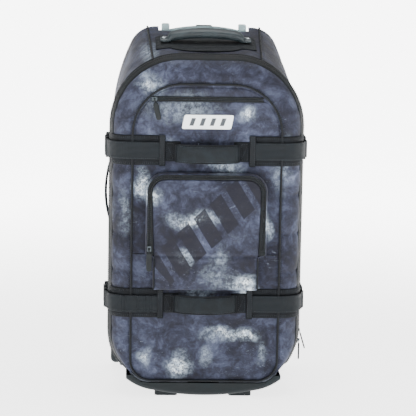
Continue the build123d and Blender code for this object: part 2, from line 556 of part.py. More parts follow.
def make_trolley():
    outers, inners, glides = [], [], []
    inner_low = TUBE_BOTTOM_Z + 30
    inner_high = CUP_FLOOR_Z + 5.5
    for side in (-1, 1):
        x = side * TUBE_X
        outers.append(tube(x, TUBE_OUT, TUBE_WALL, TUBE_BOTTOM_Z, CUP_FLOOR_Z))
        inners.append(tube(x, TUBE_IN, TUBE_WALL, inner_low, inner_high))
        glide = Pos(x, TUBE_Y, inner_low - 9.2) * Box(17.0, 11.0, 18)
        glide = fillet(glide.edges().filter_by(Axis.Z), 1.6)
        glides.append(glide - Pos(x, TUBE_Y, inner_low - 9.2) * Cylinder(3.2, 30))
    keep("outer_tubes", *outers)
    keep("inner_tubes", *inners)
    keep("tube_glides", *glides)

    bezel = block(-103.5, 103.5, TUBE_Y - 15.5, BACK_Y - 0.5, CUP_FLOOR_Z - 7, CUP_TOP_Z)
    bezel = fillet(bezel.edges().filter_by(Axis.Z), 5)
    bezel -= block(-100, 100, TUBE_Y - 12, BACK_Y - 4, CUP_FLOOR_Z + 3, CUP_FLOOR_Z + 60)
    for side in (-1, 1):
        bezel -= Pos(side * TUBE_X, TUBE_Y, CUP_FLOOR_Z - 4) * Box(TUBE_OUT[0] + 0.2, TUBE_OUT[1] + 0.2, 8.2)
        bezel -= Pos(side * TUBE_X, TUBE_Y, CUP_FLOOR_Z) * Box(TUBE_IN[0] + 0.8, TUBE_IN[1] + 0.8, 60)
    keep("handle_bezel", bezel)

    bracket = block(-112, 112, TUBE_Y - 8.8, TUBE_Y + 17, TUBE_BOTTOM_Z - 12, TUBE_BOTTOM_Z + 14)
    for side in (-1, 1):
        bracket -= block(side * TUBE_X - 10.2, side * TUBE_X + 10.2, TUBE_Y - 7.2, TUBE_Y + 7.2, TUBE_BOTTOM_Z, 200)
    bracket -= block(-70, 70, TUBE_Y - 5, TUBE_Y + 30, TUBE_BOTTOM_Z - 8, TUBE_BOTTOM_Z + 30)
    keep("tube_bracket", bracket)

    # grip: two end posts over the tubes, and a bowed bar between them
    low_line = CUP_FLOOR_Z + 4
    post = Pos(TUBE_X, TUBE_Y, (low_line + POST_TOP_Z) / 2) * Box(18, 18, POST_TOP_Z - low_line)
    posts = both(fillet(post.edges().filter_by(Axis.Y).group_by(Axis.Z)[-1], 3.5))
    reach = TUBE_X - 8
    bow = ThreePointArc((-reach, BAR_TOP_Z - 9), (0, BAR_TOP_Z), (reach, BAR_TOP_Z - 9))
    sides = [Line((reach, BAR_TOP_Z - 9), (reach, low_line)), Line((reach, low_line), (-reach, low_line)),
             Line((-reach, low_line), (-reach, BAR_TOP_Z - 9))]
    bar_face = make_face(Wire([e for part in [bow] + sides for e in part.edges()]))
    bar = extrude(Plane.XZ.offset(-(TUBE_Y + 8)) * bar_face, amount=16)
    grip = bar + posts[0] + posts[1]
    duct_top = BAR_TOP_Z - 11.5
    grip -= block(-19.3, 19.3, TUBE_Y - 5.3, TUBE_Y + 5.3, duct_top - 1, POST_TOP_Z + 5)
    grip -= block(-TUBE_X - 4, TUBE_X + 4, TUBE_Y - 3.4, TUBE_Y + 3.4, duct_top - 9, duct_top)
    grip -= Pos(12, TUBE_Y, duct_top - 11.0) * Cylinder(5.2, 6.4)
    for side in (-1, 1):
        x = side * TUBE_X
        grip -= Pos(x, TUBE_Y, low_line + 4) * Cylinder(3.4, 14)
        grip -= Pos(x, TUBE_Y, inner_high - 20) * Box(TUBE_IN[0] + 0.1, TUBE_IN[1] + 0.1, 40.2)
    keep("trolley_grip", grip)

    button = block(-18.5, 18.5, TUBE_Y - 4.6, TUBE_Y + 4.6, BAR_TOP_Z - 7.4, BAR_TOP_Z + 2.2)
    button = fillet(button.edges().filter_by(Axis.Y).group_by(Axis.Z)[-1], 2.5)
    keep("release_button", button)
    # the yoke under the button pushes a rod down each inner tube to its lock
    yoke = block(-TUBE_X - 2.6, TUBE_X + 2.6, TUBE_Y - 2.4, TUBE_Y + 2.4, duct_top - 3.4, duct_top - 0.4)
    stem = block(-2, 2, TUBE_Y - 2, TUBE_Y + 2, duct_top - 0.4, BAR_TOP_Z - 7.6)
    rod_top = duct_top - 3.6
    rod_low = inner_low - 4
    rods = [Pos(side * TUBE_X, TUBE_Y, (rod_low + rod_top) / 2) * Cylinder(2.3, rod_top - rod_low) for side in (-1, 1)]
    keep("release_rods", yoke + stem, *rods)

    # the spring stands on its pocket's floor and reaches the yoke
    floor_z = duct_top - 14.2
    pitch, turns = 2.2, 4.5
    path = Helix(pitch=pitch, height=turns * pitch, radius=2.6)
    spring = sweep(Plane(origin=path @ 0, z_dir=path % 0) * Circle(0.3), path=path, is_frenet=True)
    keep("button_spring", Pos(12, TUBE_Y, floor_z + 0.4) * spring)

    rails = both(block(TUBE_X + 18, TUBE_X + 40, BACK_Y + GAP, BACK_Y + 6, 130, 520))
    keep("skid_rails", *[fillet(rail.edges().filter_by(Axis.Z), 2.4) for rail in rails])


# ---- wheels -------------------------------------------------------------------------------
def ring_x(x, r_out, r_in, width):
    """A ring about the wheel's axis line, centred on x."""
    spin = Pos(x, WHEEL_Y, WHEEL_R) * Rot(0, 90, 0)
    return spin * (Cylinder(r_out, width) - Cylinder(r_in, width + 2))


def make_wheels():
    housings = {}
    axles = []
    for side, name in ((-1, "left"), (1, "right")):
        x = side * WHEEL_X
        well_half = WHEEL_WIDTH / 2 + 3
        inner, outer = WHEEL_X - 24.7, HALF_WIDTH - 2
        body = block(side * inner, side * outer, 97.3, BACK_Y + 3, 15, 107.7)
        outside = body.edges().filter_by(Axis.Z).sort_by(Axis.X)
        corner = outside[-2:] if side > 0 else outside[:2]
        body = fillet(corner, 12)
        low = body.edges().filter_by(Axis.Y).group_by(Axis.Z)[0].sort_by(Axis.X)
        body = fillet([low[-1] if side > 0 else low[0]], 12)
        spin = Pos(x, WHEEL_Y, WHEEL_R) * Rot(0, 90, 0)
        body -= spin * Cylinder(WHEEL_R + 4.5, 2 * well_half)
        body -= block(x - well_half, x + well_half, WHEEL_Y, 260, -10, WHEEL_R + 4.5)
        body -= block(x - well_half, x + well_half, WHEEL_Y - WHEEL_R - 4.5, 260, -10, WHEEL_R)
        body -= spin * Cylinder(AXLE_R + 0.05, 200)
        body -= Pos(side * (outer + 5 - 3.4), WHEEL_Y, WHEEL_R) * Rot(0, 90, 0) * Cylinder(7.6, 10)
        for screw_x in (159, 196):
            place = Pos(side * screw_x, 0, 98) * Rot(90, 0, 0)
            body -= Pos(0, BACK_Y + 3, 0) * place * Cylinder(4.0, 5.8)
            body -= Pos(0, BACK_Y, 0) * place * Cylinder(2.1, 24)
        keep(f"{name}_wheel_housing", body)

        tyre = ring_x(x, WHEEL_R, 33, WHEEL_WIDTH)
        tread = tyre.edges().filter_by(GeomType.CIRCLE).group_by(SortBy.RADIUS)[-1]
        keep(f"{name}_tyre", fillet(tread, 5))

        hub = ring_x(x, 33, BEARING_R, WHEEL_WIDTH - 4)
        for face in (-1, 1):
            dish = Pos(x + face * (WHEEL_WIDTH / 2 - 2), WHEEL_Y, WHEEL_R) * Rot(0, 90, 0)
            hub -= dish * (Cylinder(28.5, 9) - Cylinder(15, 20))
        for k in range(5):
            angle = math.radians(90 + k * 72)
            centre = Pos(x, WHEEL_Y + 21.5 * math.cos(angle), WHEEL_R + 21.5 * math.sin(angle))
            hub -= centre * Rot(0, 90, 0) * Cylinder(4.6, 40)
        keep(f"{name}_hub", hub)

        bearings = [ring_x(x + face * (WHEEL_WIDTH / 2 - 2 - BEARING_WIDTH / 2), BEARING_R,
                           AXLE_R + BEARING_PLAY, BEARING_WIDTH) for face in (-1, 1)]
        keep(f"{name}_bearings", *bearings)

        shank = Pos(side * (WHEEL_X + 4), WHEEL_Y, WHEEL_R) * Rot(0, 90, 0) * Cylinder(AXLE_R, 56)
        head = Pos(side * (WHEEL_X + 32.2), WHEEL_Y, WHEEL_R) * Rot(0, 90, 0) * Cylinder(7, 2.4)
        axles.append(shank + head)
    keep("wheel_axles", *axles)


def write_parts():
    os.makedirs("parts", exist_ok=True)
    for name, shape in PARTS.items():
        export_step(shape, f"parts/{name}.step")
    print(len(PARTS), "nodes written")


make_body()
make_back()
make_base()
make_frame_hoop()
make_piping()
make_lid()
make_centre_pocket()
make_main_zip()
make_zip_hardware()
make_straps()
make_handles()
make_top_handle()
make_trolley()
make_wheels()
write_parts()
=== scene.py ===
"""Looks for the upright rolling duffel bag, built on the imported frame. Metres, +Z up, -Y front."""
import math
import bmesh
import bpy
import numpy as np
from mathutils import Matrix, Vector, noise


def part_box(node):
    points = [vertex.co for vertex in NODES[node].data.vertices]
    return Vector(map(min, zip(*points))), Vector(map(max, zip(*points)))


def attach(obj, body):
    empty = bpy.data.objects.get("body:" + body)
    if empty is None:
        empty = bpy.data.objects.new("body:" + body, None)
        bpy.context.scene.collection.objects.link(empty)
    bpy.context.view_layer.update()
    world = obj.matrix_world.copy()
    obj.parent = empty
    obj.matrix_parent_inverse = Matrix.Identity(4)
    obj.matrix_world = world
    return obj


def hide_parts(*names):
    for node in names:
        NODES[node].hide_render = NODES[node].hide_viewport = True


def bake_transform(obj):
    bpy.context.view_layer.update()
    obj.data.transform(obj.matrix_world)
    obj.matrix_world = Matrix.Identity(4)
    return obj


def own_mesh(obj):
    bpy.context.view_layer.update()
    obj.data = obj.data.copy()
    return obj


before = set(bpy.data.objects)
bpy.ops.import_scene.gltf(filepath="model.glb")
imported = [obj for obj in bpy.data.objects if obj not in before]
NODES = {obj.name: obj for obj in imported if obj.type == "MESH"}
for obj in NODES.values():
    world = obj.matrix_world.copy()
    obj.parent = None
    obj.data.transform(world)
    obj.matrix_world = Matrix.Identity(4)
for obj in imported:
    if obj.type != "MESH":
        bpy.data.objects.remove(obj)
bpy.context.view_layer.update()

# ---- sizes shared with the CAD --------------------------------------------------------------
HALF, ZIP_Y, BACK_Y, FRONT_Y = 0.208, -0.096, 0.166, -0.154
FLOOR, LID_LOW, ZIP_TOP, REAR_TOP = 0.020, 0.035, 0.749, 0.797
EDGE_R, TOP_DROP = 0.042, 0.052
UPPER_Z, LOWER_Z, BAND_H, STRAP_W = 0.549, 0.212, 0.066, 0.038
BAND_X, STRAP_LIFT = 0.092, 0.0058
POCKET = dict(half=0.130, lower=0.113, top=0.500, fold=0.322, r=0.040, depth=0.024, low=0.246)
CUP_X, CUP_Y, CUP_Z = 0.104, 0.1245, 0.762
WELL_X, WELL_Y, WELL_TOP = 0.1467, 0.0966, 0.1083
LOW_R, TOP_R, FACE_LOW_R = 0.112, 0.150, 0.042
UPPER_ZIP_Z, BADGE_Z, TAB_Z, CROWN_Z, PIPING_R = 0.661, 0.612, 0.357, 0.599, 0.0025
AHEAD, UP = (0, -1, 0), (0, 0, 1)

# ---- material kit ---------------------------------------------------------------------------
def srgb(r, g, b):
    def lin(c):
        c /= 255
        return c / 12.92 if c <= 0.04045 else ((c + 0.055) / 1.055) ** 2.4
    return (lin(r), lin(g), lin(b), 1.0)


class Mat:
    """A material being built. n() adds a node; an input may be a value or another node's socket."""

    def __init__(self, name, coords="object"):
        self.mat = bpy.data.materials.new(name)
        self.mat.use_nodes = True
        self.tree = self.mat.node_tree
        self.tree.nodes.clear()
        self.out = self.n("ShaderNodeOutputMaterial")
        self.bsdf = self.n("ShaderNodeBsdfPrincipled")
        self.tree.links.new(self.bsdf.outputs[0], self.out.inputs[0])
        if coords == "object":
            self.co = self.n("ShaderNodeTexCoord").outputs["Object"]
        else:
            self.co = self.n("ShaderNodeAttribute", attribute_name="rest_co").outputs["Vector"]

    def n(self, kind, inputs=None, **props):
        node = self.tree.nodes.new(kind)
        for key, value in props.items():
            setattr(node, key, value)
        for key, value in (inputs or {}).items():
            if isinstance(value, bpy.types.NodeSocket):
                self.tree.links.new(value, node.inputs[key])
            else:
                node.inputs[key].default_value = value
        return node

    def math(self, op, a, b=0.0, clamp=False):
        return self.n("ShaderNodeMath", {0: a, 1: b}, operation=op, use_clamp=clamp).outputs[0]

    def vec(self, op, a, b):
        node = self.n("ShaderNodeVectorMath", {0: a, 1: b}, operation=op)
        return node.outputs["Value" if op in ("LENGTH", "DOT_PRODUCT", "DISTANCE") else "Vector"]

    def noise(self, scale, detail=4.0, rough=0.55, at=None, warp=0.0, stretch=None):
        at = at or self.co
        if stretch:
            at = self.vec("MULTIPLY", at, stretch)
        return self.n("ShaderNodeTexNoise", {"Vector": at, "Scale": scale, "Detail": detail,
                                              "Roughness": rough, "Distortion": warp}).outputs["Fac"]

    def step(self, value, lo, hi, out_lo=0.0, out_hi=1.0):
        return self.n("ShaderNodeMapRange",
                      {"Value": value, "From Min": lo, "From Max": hi, "To Min": out_lo,
                                              "To Max": out_hi},
                                              interpolation_type="SMOOTHSTEP").outputs["Result"]

    def ramp(self, fac, stops):
        node = self.n("ShaderNodeValToRGB", {"Fac": fac})
        ramp = node.color_ramp
        while len(ramp.elements) < len(stops):
            ramp.elements.new(0.5)
        for element, (pos, colour) in zip(ramp.elements, stops):
            element.position, element.color = pos, colour
        return node.outputs["Color"]

    def mix(self, fac, a, b):
        node = self.n("ShaderNodeMix", data_type="RGBA", clamp_factor=True)
        for index, value in ((0, fac), (6, a), (7, b)):
            if isinstance(value, bpy.types.NodeSocket):
                self.tree.links.new(value, node.inputs[index])
            else:
                node.inputs[index].default_value = value
        return node.outputs[2]

    def wave(self, axis, pitch):
        """A sine ridge repeating every pitch metres along one axis, 0 to 1."""
        part = self.n("ShaderNodeSeparateXYZ", {0: self.co}).outputs["XYZ".index(axis)]
        turn = self.math("SINE", self.math("MULTIPLY", part, 2 * math.pi / pitch))
        return self.math("ADD", self.math("MULTIPLY", turn, 0.5), 0.5)

    def bump(self, height, strength, distance, under=None):
        inputs = {"Height": height, "Strength": strength, "Distance": distance}
        if under is not None:
            inputs["Normal"] = under
        return self.n("ShaderNodeBump", inputs).outputs["Normal"]

    def finish(self, colour, rough, normal=None, **constants):
        for key, value in (("Base Color", colour), ("Roughness", rough), ("Normal", normal)):
            if value is None:
                continue
            if isinstance(value, bpy.types.NodeSocket):
                self.tree.links.new(value, self.bsdf.inputs[key])
            else:
                self.bsdf.inputs[key].default_value = value
        for key, value in constants.items():
            self.bsdf.inputs[key.replace("_", " ")].default_value = value
        return self.mat


def weave_height(m, pitch=0.0011):
    """Plain weave on any face direction: ridges of the three axes laid over each other."""
    a = m.math("MULTIPLY", m.wave("X", pitch), m.wave("Z", pitch))
    return m.math("ADD", a, m.math("MULTIPLY", m.wave("Y", pitch), 0.6))


# bleached clouds, as shares of the bag's width and height, with their half sizes and strength
CLOUDS = [
    (-0.300, 0.862, 0.060, 0.030, 0.75), (-0.255, 0.700, 0.055, 0.020, 0.45),
    (-0.335, 0.590, 0.026, 0.040, 0.95),
    (-0.285, 0.560, 0.030, 0.022, 0.8), (-0.060, 0.500, 0.110, 0.020, 0.95),
    (-0.125, 0.395, 0.050, 0.022, 0.8),
    (0.190, 0.330, 0.060, 0.022, 1.0), (0.240, 0.290, 0.045, 0.030, 1.1), (0.320, 0.490, 0.018, 0.050, 0.85),
    (0.185, 0.775, 0.035, 0.018, 0.9), (0.090, 0.640, 0.070, 0.018, 0.7), (0.120, 0.178, 0.110, 0.014, 0.8),
    (0.230, 0.166, 0.035, 0.014, 1.0), (-0.130, 0.088, 0.048, 0.034, 1.2),
    (-0.315, 0.118, 0.025, 0.030, 0.8), (0.020, 0.125, 0.030, 0.030, 0.6), (0.400, 0.640, 0.030, 0.070, 0.5),
    (-0.420, 0.520, 0.024, 0.060, 0.35),
    (-0.300, 0.930, 0.040, 0.016, 0.6), (0.300, 0.130, 0.020, 0.030, 0.4),
    (-0.130, 0.800, 0.150, 0.035, 0.35),
    (0.05, 0.345, 0.05, 0.03, 0.35), (-0.02, 0.285, 0.06, 0.02, 0.4), (0.07, 0.400, 0.04, 0.03, 0.45),
]


def printed_fabric(name, coords="object", bars=False):
    """Matte canvas with a smoky, acid-washed print, and on the pocket a row of slanting bars."""
    m = Mat(name, coords)
    low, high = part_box("lid_shell")
    width, height = high[0] - low[0], 0.805
    big = m.n("ShaderNodeTexNoise", {"Vector": m.co, "Scale": 16.0, "Detail": 3.0}).outputs["Color"]
    warp = m.vec("MULTIPLY", m.vec("SUBTRACT", big, (0.5, 0.5, 0.5)), (0.055, 0.055, 0.055))
    at = m.vec("ADD", m.co, warp)
    smoke = m.noise(10.0, 8.0, 0.68, at=at, stretch=(1.0, 1.0, 1.25))
    fine = m.noise(70.0, 6.0, 0.7, at=at)
    grain = m.noise(260.0, 3.0, 0.7)
    tone = m.math("ADD", m.math("MULTIPLY", smoke, 0.66), m.math("MULTIPLY", fine, 0.34))
    colour = m.ramp(tone, [(0.36, srgb(14, 14, 22)), (0.45, srgb(24, 25, 37)), (0.52, srgb(40, 43, 58)),
                           (0.60, srgb(62, 67, 86)), (0.72, srgb(108, 117, 139))])
    # the clouds: soft spots broken up by two sizes of speckle
    total = None
    for fx, fz, rx, rz, power in CLOUDS:
        centre = (fx * width, -0.12, fz * height)
        gap = m.vec("MULTIPLY", m.vec("SUBTRACT", at, centre), (1 / (rx * 0.62), 3.0, 1 / (rz * 0.92)))
        spot = m.step(m.vec("LENGTH", gap, (0, 0, 0)), 1.35, 0.0, 0.0, power)
        total = spot if total is None else m.math("ADD", total, spot)
    stray = m.step(m.noise(6.5, 4.0, 0.55, at=at, stretch=(1.0, 1.0, 1.4)), 0.62, 0.80, 0.0, 0.20)
    total = m.math("MAXIMUM", total, stray)
    broken = m.step(m.noise(85.0, 8.0, 0.85), 0.44, 0.60)
    veil = m.math("MULTIPLY", total, m.math("ADD", m.math("MULTIPLY", broken, 0.80), 0.12), clamp=True)
    colour = m.mix(veil, colour, srgb(176, 193, 210))
    bright = m.step(total, 0.45, 0.95)
    hot = m.math("MULTIPLY", bright, m.step(m.noise(130.0, 6.0, 0.85), 0.48, 0.60), clamp=True)
    colour = m.mix(hot, colour, srgb(228, 238, 243))
    # thin pale scratches and dark speckle
    lines = m.step(m.noise(60.0, 5.0, 0.8, at=at, warp=2.2, stretch=(1.0, 1.0, 2.6)), 0.60, 0.68, 0.0, 0.45)
    where = m.step(m.noise(7.0, 3.0, 0.6), 0.48, 0.62)
    colour = m.mix(m.math("MULTIPLY", lines, where, clamp=True), colour, srgb(150, 161, 180))
    specks = m.step(m.noise(190.0, 4.0, 0.8), 0.60, 0.70, 0.0, 0.55)
    colour = m.mix(specks, colour, srgb(28, 29, 40))
    if bars:
        low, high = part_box("pocket_frame")
        cx, cz = (low[0] + high[0]) / 2 + 0.012, (low[2] + high[2]) / 2 + 0.018
        turned = m.n("ShaderNodeVectorRotate", {"Vector": m.co, "Center": (cx, 0, cz), "Axis": (0, 1, 0),
                                                 "Angle": math.radians(43)}).outputs["Vector"]
        parts = m.n("ShaderNodeSeparateXYZ", {0: turned})
        along = m.math("SUBTRACT", parts.outputs["X"], cx)
        across = m.math("SUBTRACT", parts.outputs["Z"], cz)
        slanted = m.math("ADD", along, m.math("MULTIPLY", across, -0.20))
        phase = m.math("FRACT", m.math("DIVIDE", m.math("ADD", slanted, 0.5), 0.047))
        bar = m.math("MULTIPLY", m.step(phase, 0.02, 0.06), m.step(phase, 0.76, 0.72))
        band = m.step(m.math("ABSOLUTE", across), 0.0385, 0.0370)
        ends = m.step(m.math("ABSOLUTE", m.math("ADD", along, 0.004)), 0.152, 0.150)
        bar = m.math("MULTIPLY", m.math("MULTIPLY", bar, band), ends)
        worn = m.math("MULTIPLY", bar, m.step(m.noise(120.0, 5.0, 0.7), 0.30, 0.44, 0.55, 0.93))
        colour = m.mix(worn, colour, srgb(21, 21, 30))
    height_map = m.math("ADD", m.math("MULTIPLY", weave_height(m, 0.0013), 0.5),
                        m.math("MULTIPLY", grain, 0.5))
    folds = m.noise(22.0, 3.0, 0.5)
    normal = m.bump(folds, 0.35, 0.006)
    normal = m.bump(height_map, 0.22, 0.0006, normal)
    rough = m.step(fine, 0.3, 0.7, 0.66, 0.82)
    return m.finish(colour, rough, normal, Sheen_Weight=0.05, Sheen_Roughness=0.45, Specular_IOR_Level=0.22)


def cloth_material(name, dark, light, pitch=0.0011, rough=0.74, sheen=0.05):
    """Plain woven cloth in two close shades, with fine fuzz."""
    m = Mat(name)
    patches = m.noise(38.0, 5.0, 0.6)
    colour = m.mix(m.step(patches, 0.35, 0.7), dark, light)
    fuzz = m.noise(900.0, 2.0, 0.6)
    colour = m.mix(m.step(fuzz, 0.55, 0.75, 0.0, 0.25), colour,
                   tuple(min(1, c * 1.7) for c in light[:3]) + (1,))
    height = m.math("ADD", weave_height(m, pitch), m.math("MULTIPLY", fuzz, 0.6))
    normal = m.bump(m.noise(60.0, 3.0, 0.5), 0.25, 0.002)
    normal = m.bump(height, 0.35, 0.0007, normal)
    return m.finish(colour, m.step(patches, 0.3, 0.7, rough - 0.05, rough + 0.1), normal,
                    Sheen_Weight=sheen * 0.4, Sheen_Roughness=0.4, Specular_IOR_Level=0.15)


def webbing_material(name, dark, light, rib_axis="Z", pitch=0.0026):
    """Flat woven webbing: ribs along its run, herringbone picks across it, with painted shade in the ribs'
    grooves and painted light on their crowns.
    """
    m = Mat(name)
    rib = m.wave(rib_axis, pitch)
    picks = m.math("MULTIPLY", m.wave("X", 0.0017), m.wave("Y", 0.0017))
    patches = m.noise(45.0, 4.0, 0.6)
    # painted shade and light: the rib wave darkens the grooves and lightens the crowns, mixed with random
    # tone patches
    shade = m.math("ADD", m.math("MULTIPLY", rib, 0.45), m.math("MULTIPLY", patches, 0.55))
    colour = m.mix(m.step(shade, 0.3, 0.8), dark, light)
    height = m.math("ADD", rib, m.math("MULTIPLY", picks, 0.5))
    normal = m.bump(height, 0.55, 0.0009)
    normal = m.bump(m.noise(700.0, 2.0, 0.6), 0.2, 0.0004, normal)
    return m.finish(colour, m.step(patches, 0.3, 0.7, 0.60, 0.78), normal, Sheen_Weight=0.02,
                    Sheen_Roughness=0.35, Specular_IOR_Level=0.16)


def plastic_material(name, base, worn, rough=0.48, grain=0.0004, pitch=900.0, specular=0.45):
    """Moulded plastic or rubber with a fine grain and paler scuffs."""
    m = Mat(name)
    patches = m.noise(30.0, 5.0, 0.6)
    scuffs = m.step(m.noise(160.0, 5.0, 0.75, stretch=(1.0, 1.0, 0.3)), 0.62, 0.74, 0.0, 0.5)
    colour = m.mix(m.step(patches, 0.4, 0.75, 0.0, 0.6), base, worn)
    colour = m.mix(scuffs, colour, worn)
    height = m.noise(pitch, 3.0, 0.6)
    normal = m.bump(height, 0.4, grain)
    return m.finish(colour, m.step(patches, 0.3, 0.7, rough - 0.06, rough + 0.1), normal,
                    Specular_IOR_Level=specular)


def metal_material(name, base, rough=0.32, brush=(400.0, 400.0, 8.0), metallic=1.0):
    """Metal with streaks along its brushing and faint smudges."""
    m = Mat(name)
    streak = m.noise(1.0, 4.0, 0.6, stretch=brush)
    smudge = m.noise(28.0, 4.0, 0.6)
    colour = m.mix(m.step(streak, 0.3, 0.7, 0.0, 0.35), base, tuple(c * 0.72 for c in base[:3]) + (1,))
    normal = m.bump(streak, 0.12, 0.0003)
    return m.finish(colour, m.step(smudge, 0.3, 0.7, rough - 0.05, rough + 0.12), normal, Metallic=metallic)


def coil_material(name):
    """The dark, slightly shiny plastic of a zip's coil, with paler patches of painted shine."""
    m = Mat(name)
    painted_shine = m.noise(120.0, 3.0, 0.6)
    # painted shine: the colour turns paler where this noise is high
    colour = m.mix(m.step(painted_shine, 0.4, 0.7), srgb(14, 17, 19), srgb(30, 35, 38))
    normal = m.bump(m.noise(1400.0, 2.0, 0.5), 0.3, 0.0004)
    return m.finish(colour, m.step(painted_shine, 0.3, 0.7, 0.42, 0.6), normal, Specular_IOR_Level=0.25)


MATERIALS = {
    "print_fabric": printed_fabric("print_fabric"),
    "print_bars": printed_fabric("print_fabric_bars", "rest", bars=True),
    "black_fabric": cloth_material("black_fabric", srgb(12, 14, 17), srgb(23, 26, 30)),
    "lining": cloth_material("lining", srgb(50, 54, 61), srgb(70, 74, 82), 0.0022, 0.62, 0.1),
    "piping": cloth_material("piping", srgb(13, 15, 18), srgb(24, 27, 31), 0.0009, 0.6, 0.1),
    "webbing": webbing_material("webbing", srgb(14, 17, 20), srgb(28, 33, 37)),
    "webbing_up": webbing_material("webbing_up", srgb(13, 15, 18), srgb(24, 28, 32), "Y"),
    "handle_fabric": cloth_material("handle_fabric", srgb(16, 20, 23), srgb(26, 31, 35), 0.0012, 0.68, 0.06),
    "zip": cloth_material("zip_tape", srgb(10, 12, 14), srgb(19, 23, 26), 0.0012, 0.58, 0.1),
    "zip_coil": coil_material("zip_coil"),
    "zip_metal": metal_material("zip_metal", srgb(60, 66, 70), 0.36, (60.0, 60.0, 60.0), 0.9),
    "pull_rubber": plastic_material("pull_rubber", srgb(12, 16, 18), srgb(26, 32, 35), 0.55, 0.0003, 900.0,
                                    0.22),
    "base_plastic": plastic_material("base_plastic", srgb(12, 19, 22), srgb(24, 34, 37), 0.56, 0.0006, 700.0,
                                     0.22),
    "buckle_plastic": plastic_material("buckle_plastic", srgb(15, 20, 23), srgb(30, 37, 41), 0.42, 0.0003,
                                       900.0, 0.3),
    "handle_rubber": plastic_material("handle_rubber", srgb(34, 43, 47), srgb(52, 63, 68), 0.5, 0.0005,
                                      1100.0),
    "badge": plastic_material("badge", srgb(244, 250, 250), srgb(230, 240, 242), 0.35, 0.0001),
    "badge_ink": plastic_material("badge_ink", srgb(40, 46, 52), srgb(58, 66, 72), 0.45, 0.0001),
    "tube_alloy": metal_material("tube_alloy", srgb(190, 203, 206), 0.3),
    "grip_silver": metal_material("grip_silver", srgb(176, 200, 204), 0.38, (30.0, 200.0, 200.0), 0.35),
    "steel": metal_material("steel", srgb(170, 178, 182), 0.3, (120.0, 120.0, 120.0)),
    "tyre": plastic_material("tyre", srgb(32, 35, 37), srgb(62, 66, 68), 0.62, 0.0008, 500.0),
    "hub_plastic": plastic_material("hub_plastic", srgb(64, 72, 76), srgb(92, 100, 104), 0.45, 0.0004),
    "thread": cloth_material("thread", srgb(26, 28, 33), srgb(48, 52, 58), 0.0008, 0.6, 0.2),
}


# ---- mesh kit -------------------------------------------------------------------------------
def line(a, b, n):
    """n points from a towards b, without b."""
    return [(a[0] + (b[0] - a[0]) * k / n, a[1] + (b[1] - a[1]) * k / n) for k in range(n)]


def arc(centre, r, start, end, n):
    """n points round a centre from one angle towards another, without the last."""
    angles = [math.radians(start + (end - start) * k / n) for k in range(n)]
    return [(centre[0] + r * math.cos(t), centre[1] + r * math.sin(t)) for t in angles]


def arch(half, low, top, r_low, r_top, r_side=None):
    """Right half of an arched outline, bottom middle to top middle, with a fixed count of points."""
    r_side = r_side or r_top
    turn = 25.0
    a = math.radians(turn)
    side_z, side_x = top - r_top - (r_side - r_top) * math.sin(a), half - r_side
    corner = (side_x + (r_side - r_top) * math.cos(a), top - r_top)
    points = line((0, low), (half - r_low, low), 14) + arc((half - r_low, low + r_low), r_low, -90, 0, 18)
    points += line((half, low + r_low), (half, side_z), 60) + arc((side_x, side_z), r_side, 0, turn, 16)
    points += arc(corner, r_top, turn, 90, 20) + line((corner[0], top), (0, top), 16) + [(0, top)]
    return np.array(points)


def body_outline(y, off=0.0):
    """The body's outline between its zip and its back."""
    s = (y - ZIP_Y) / (BACK_Y - ZIP_Y)
    front = arch(HALF + off, FLOOR - off, ZIP_TOP + off, LOW_R + off, TOP_R + off)
    rear = arch(HALF + off, FLOOR - off, REAR_TOP + off, 0.066 + off, 0.062 + off, 0.446 + off)
    return front * (1 - s) + rear * s


def lid_outline(t):
    """The lid's outline round its edge's rounding, t from 0 at the side to 1 at the face, and its y."""
    angle = math.radians(90 * t)
    fall = 1 - math.cos(angle)
    return FRONT_Y + EDGE_R * (1 - math.sin(angle)), arch(
        HALF - EDGE_R * fall, LID_LOW, ZIP_TOP - TOP_DROP * fall, LOW_R - (LOW_R - FACE_LOW_R) * fall,
        TOP_R - EDGE_R * fall)


def crossing(poly, axis, value, after=0):
    """Where an outline first passes a coordinate, as an index with a fraction."""
    c = poly[:, axis] - value
    for i in range(after, len(c) - 1):
        if (c[i] <= 0 < c[i + 1]) or (c[i] >= 0 > c[i + 1]):
            return i + c[i] / (c[i] - c[i + 1])
    return float(len(c) - 1)


def peak_of(poly):
    """The first point of an outline that is at its full width."""
    return int(np.argmax(poly[:, 0] > HALF - 1e-5))


def lengths(points):
    """How far along a line of points each one is."""
    return np.concatenate([[0], np.cumsum(np.linalg.norm(np.diff(points, axis=0), axis=1))])


def at(poly, t):
    """The points of an outline at indices with fractions."""
    t = np.asarray(t, float)
    grid = np.arange(len(poly))
    return np.stack([np.interp(t, grid, poly[:, k]) for k in range(poly.shape[1])], -1)


def spaced(poly, t0, t1, n):
    """Indices that split an outline between t0 and t1 into n equal lengths, without the last."""
    dense = np.linspace(t0, t1, 8 * n + 1)
    points = at(poly, dense)
    run = lengths(points)
    return list(np.interp(np.linspace(0, run[-1], n + 1)[:-1], run, dense))


def half_width(poly, z):
    """Half the width of an arched outline at a height."""
    top = poly[:, 1].max()
    if z >= top - 1e-6:
        return float(poly[poly[:, 1] >= top - 1e-6][:, 0].max())
    right = poly[np.argmax(poly[:, 0] > 1e-6):]
    rising = right[np.concatenate([[True], np.diff(right[:, 1]) > -1e-9])]
    return float(np.interp(z, rising[:, 1], rising[:, 0]))


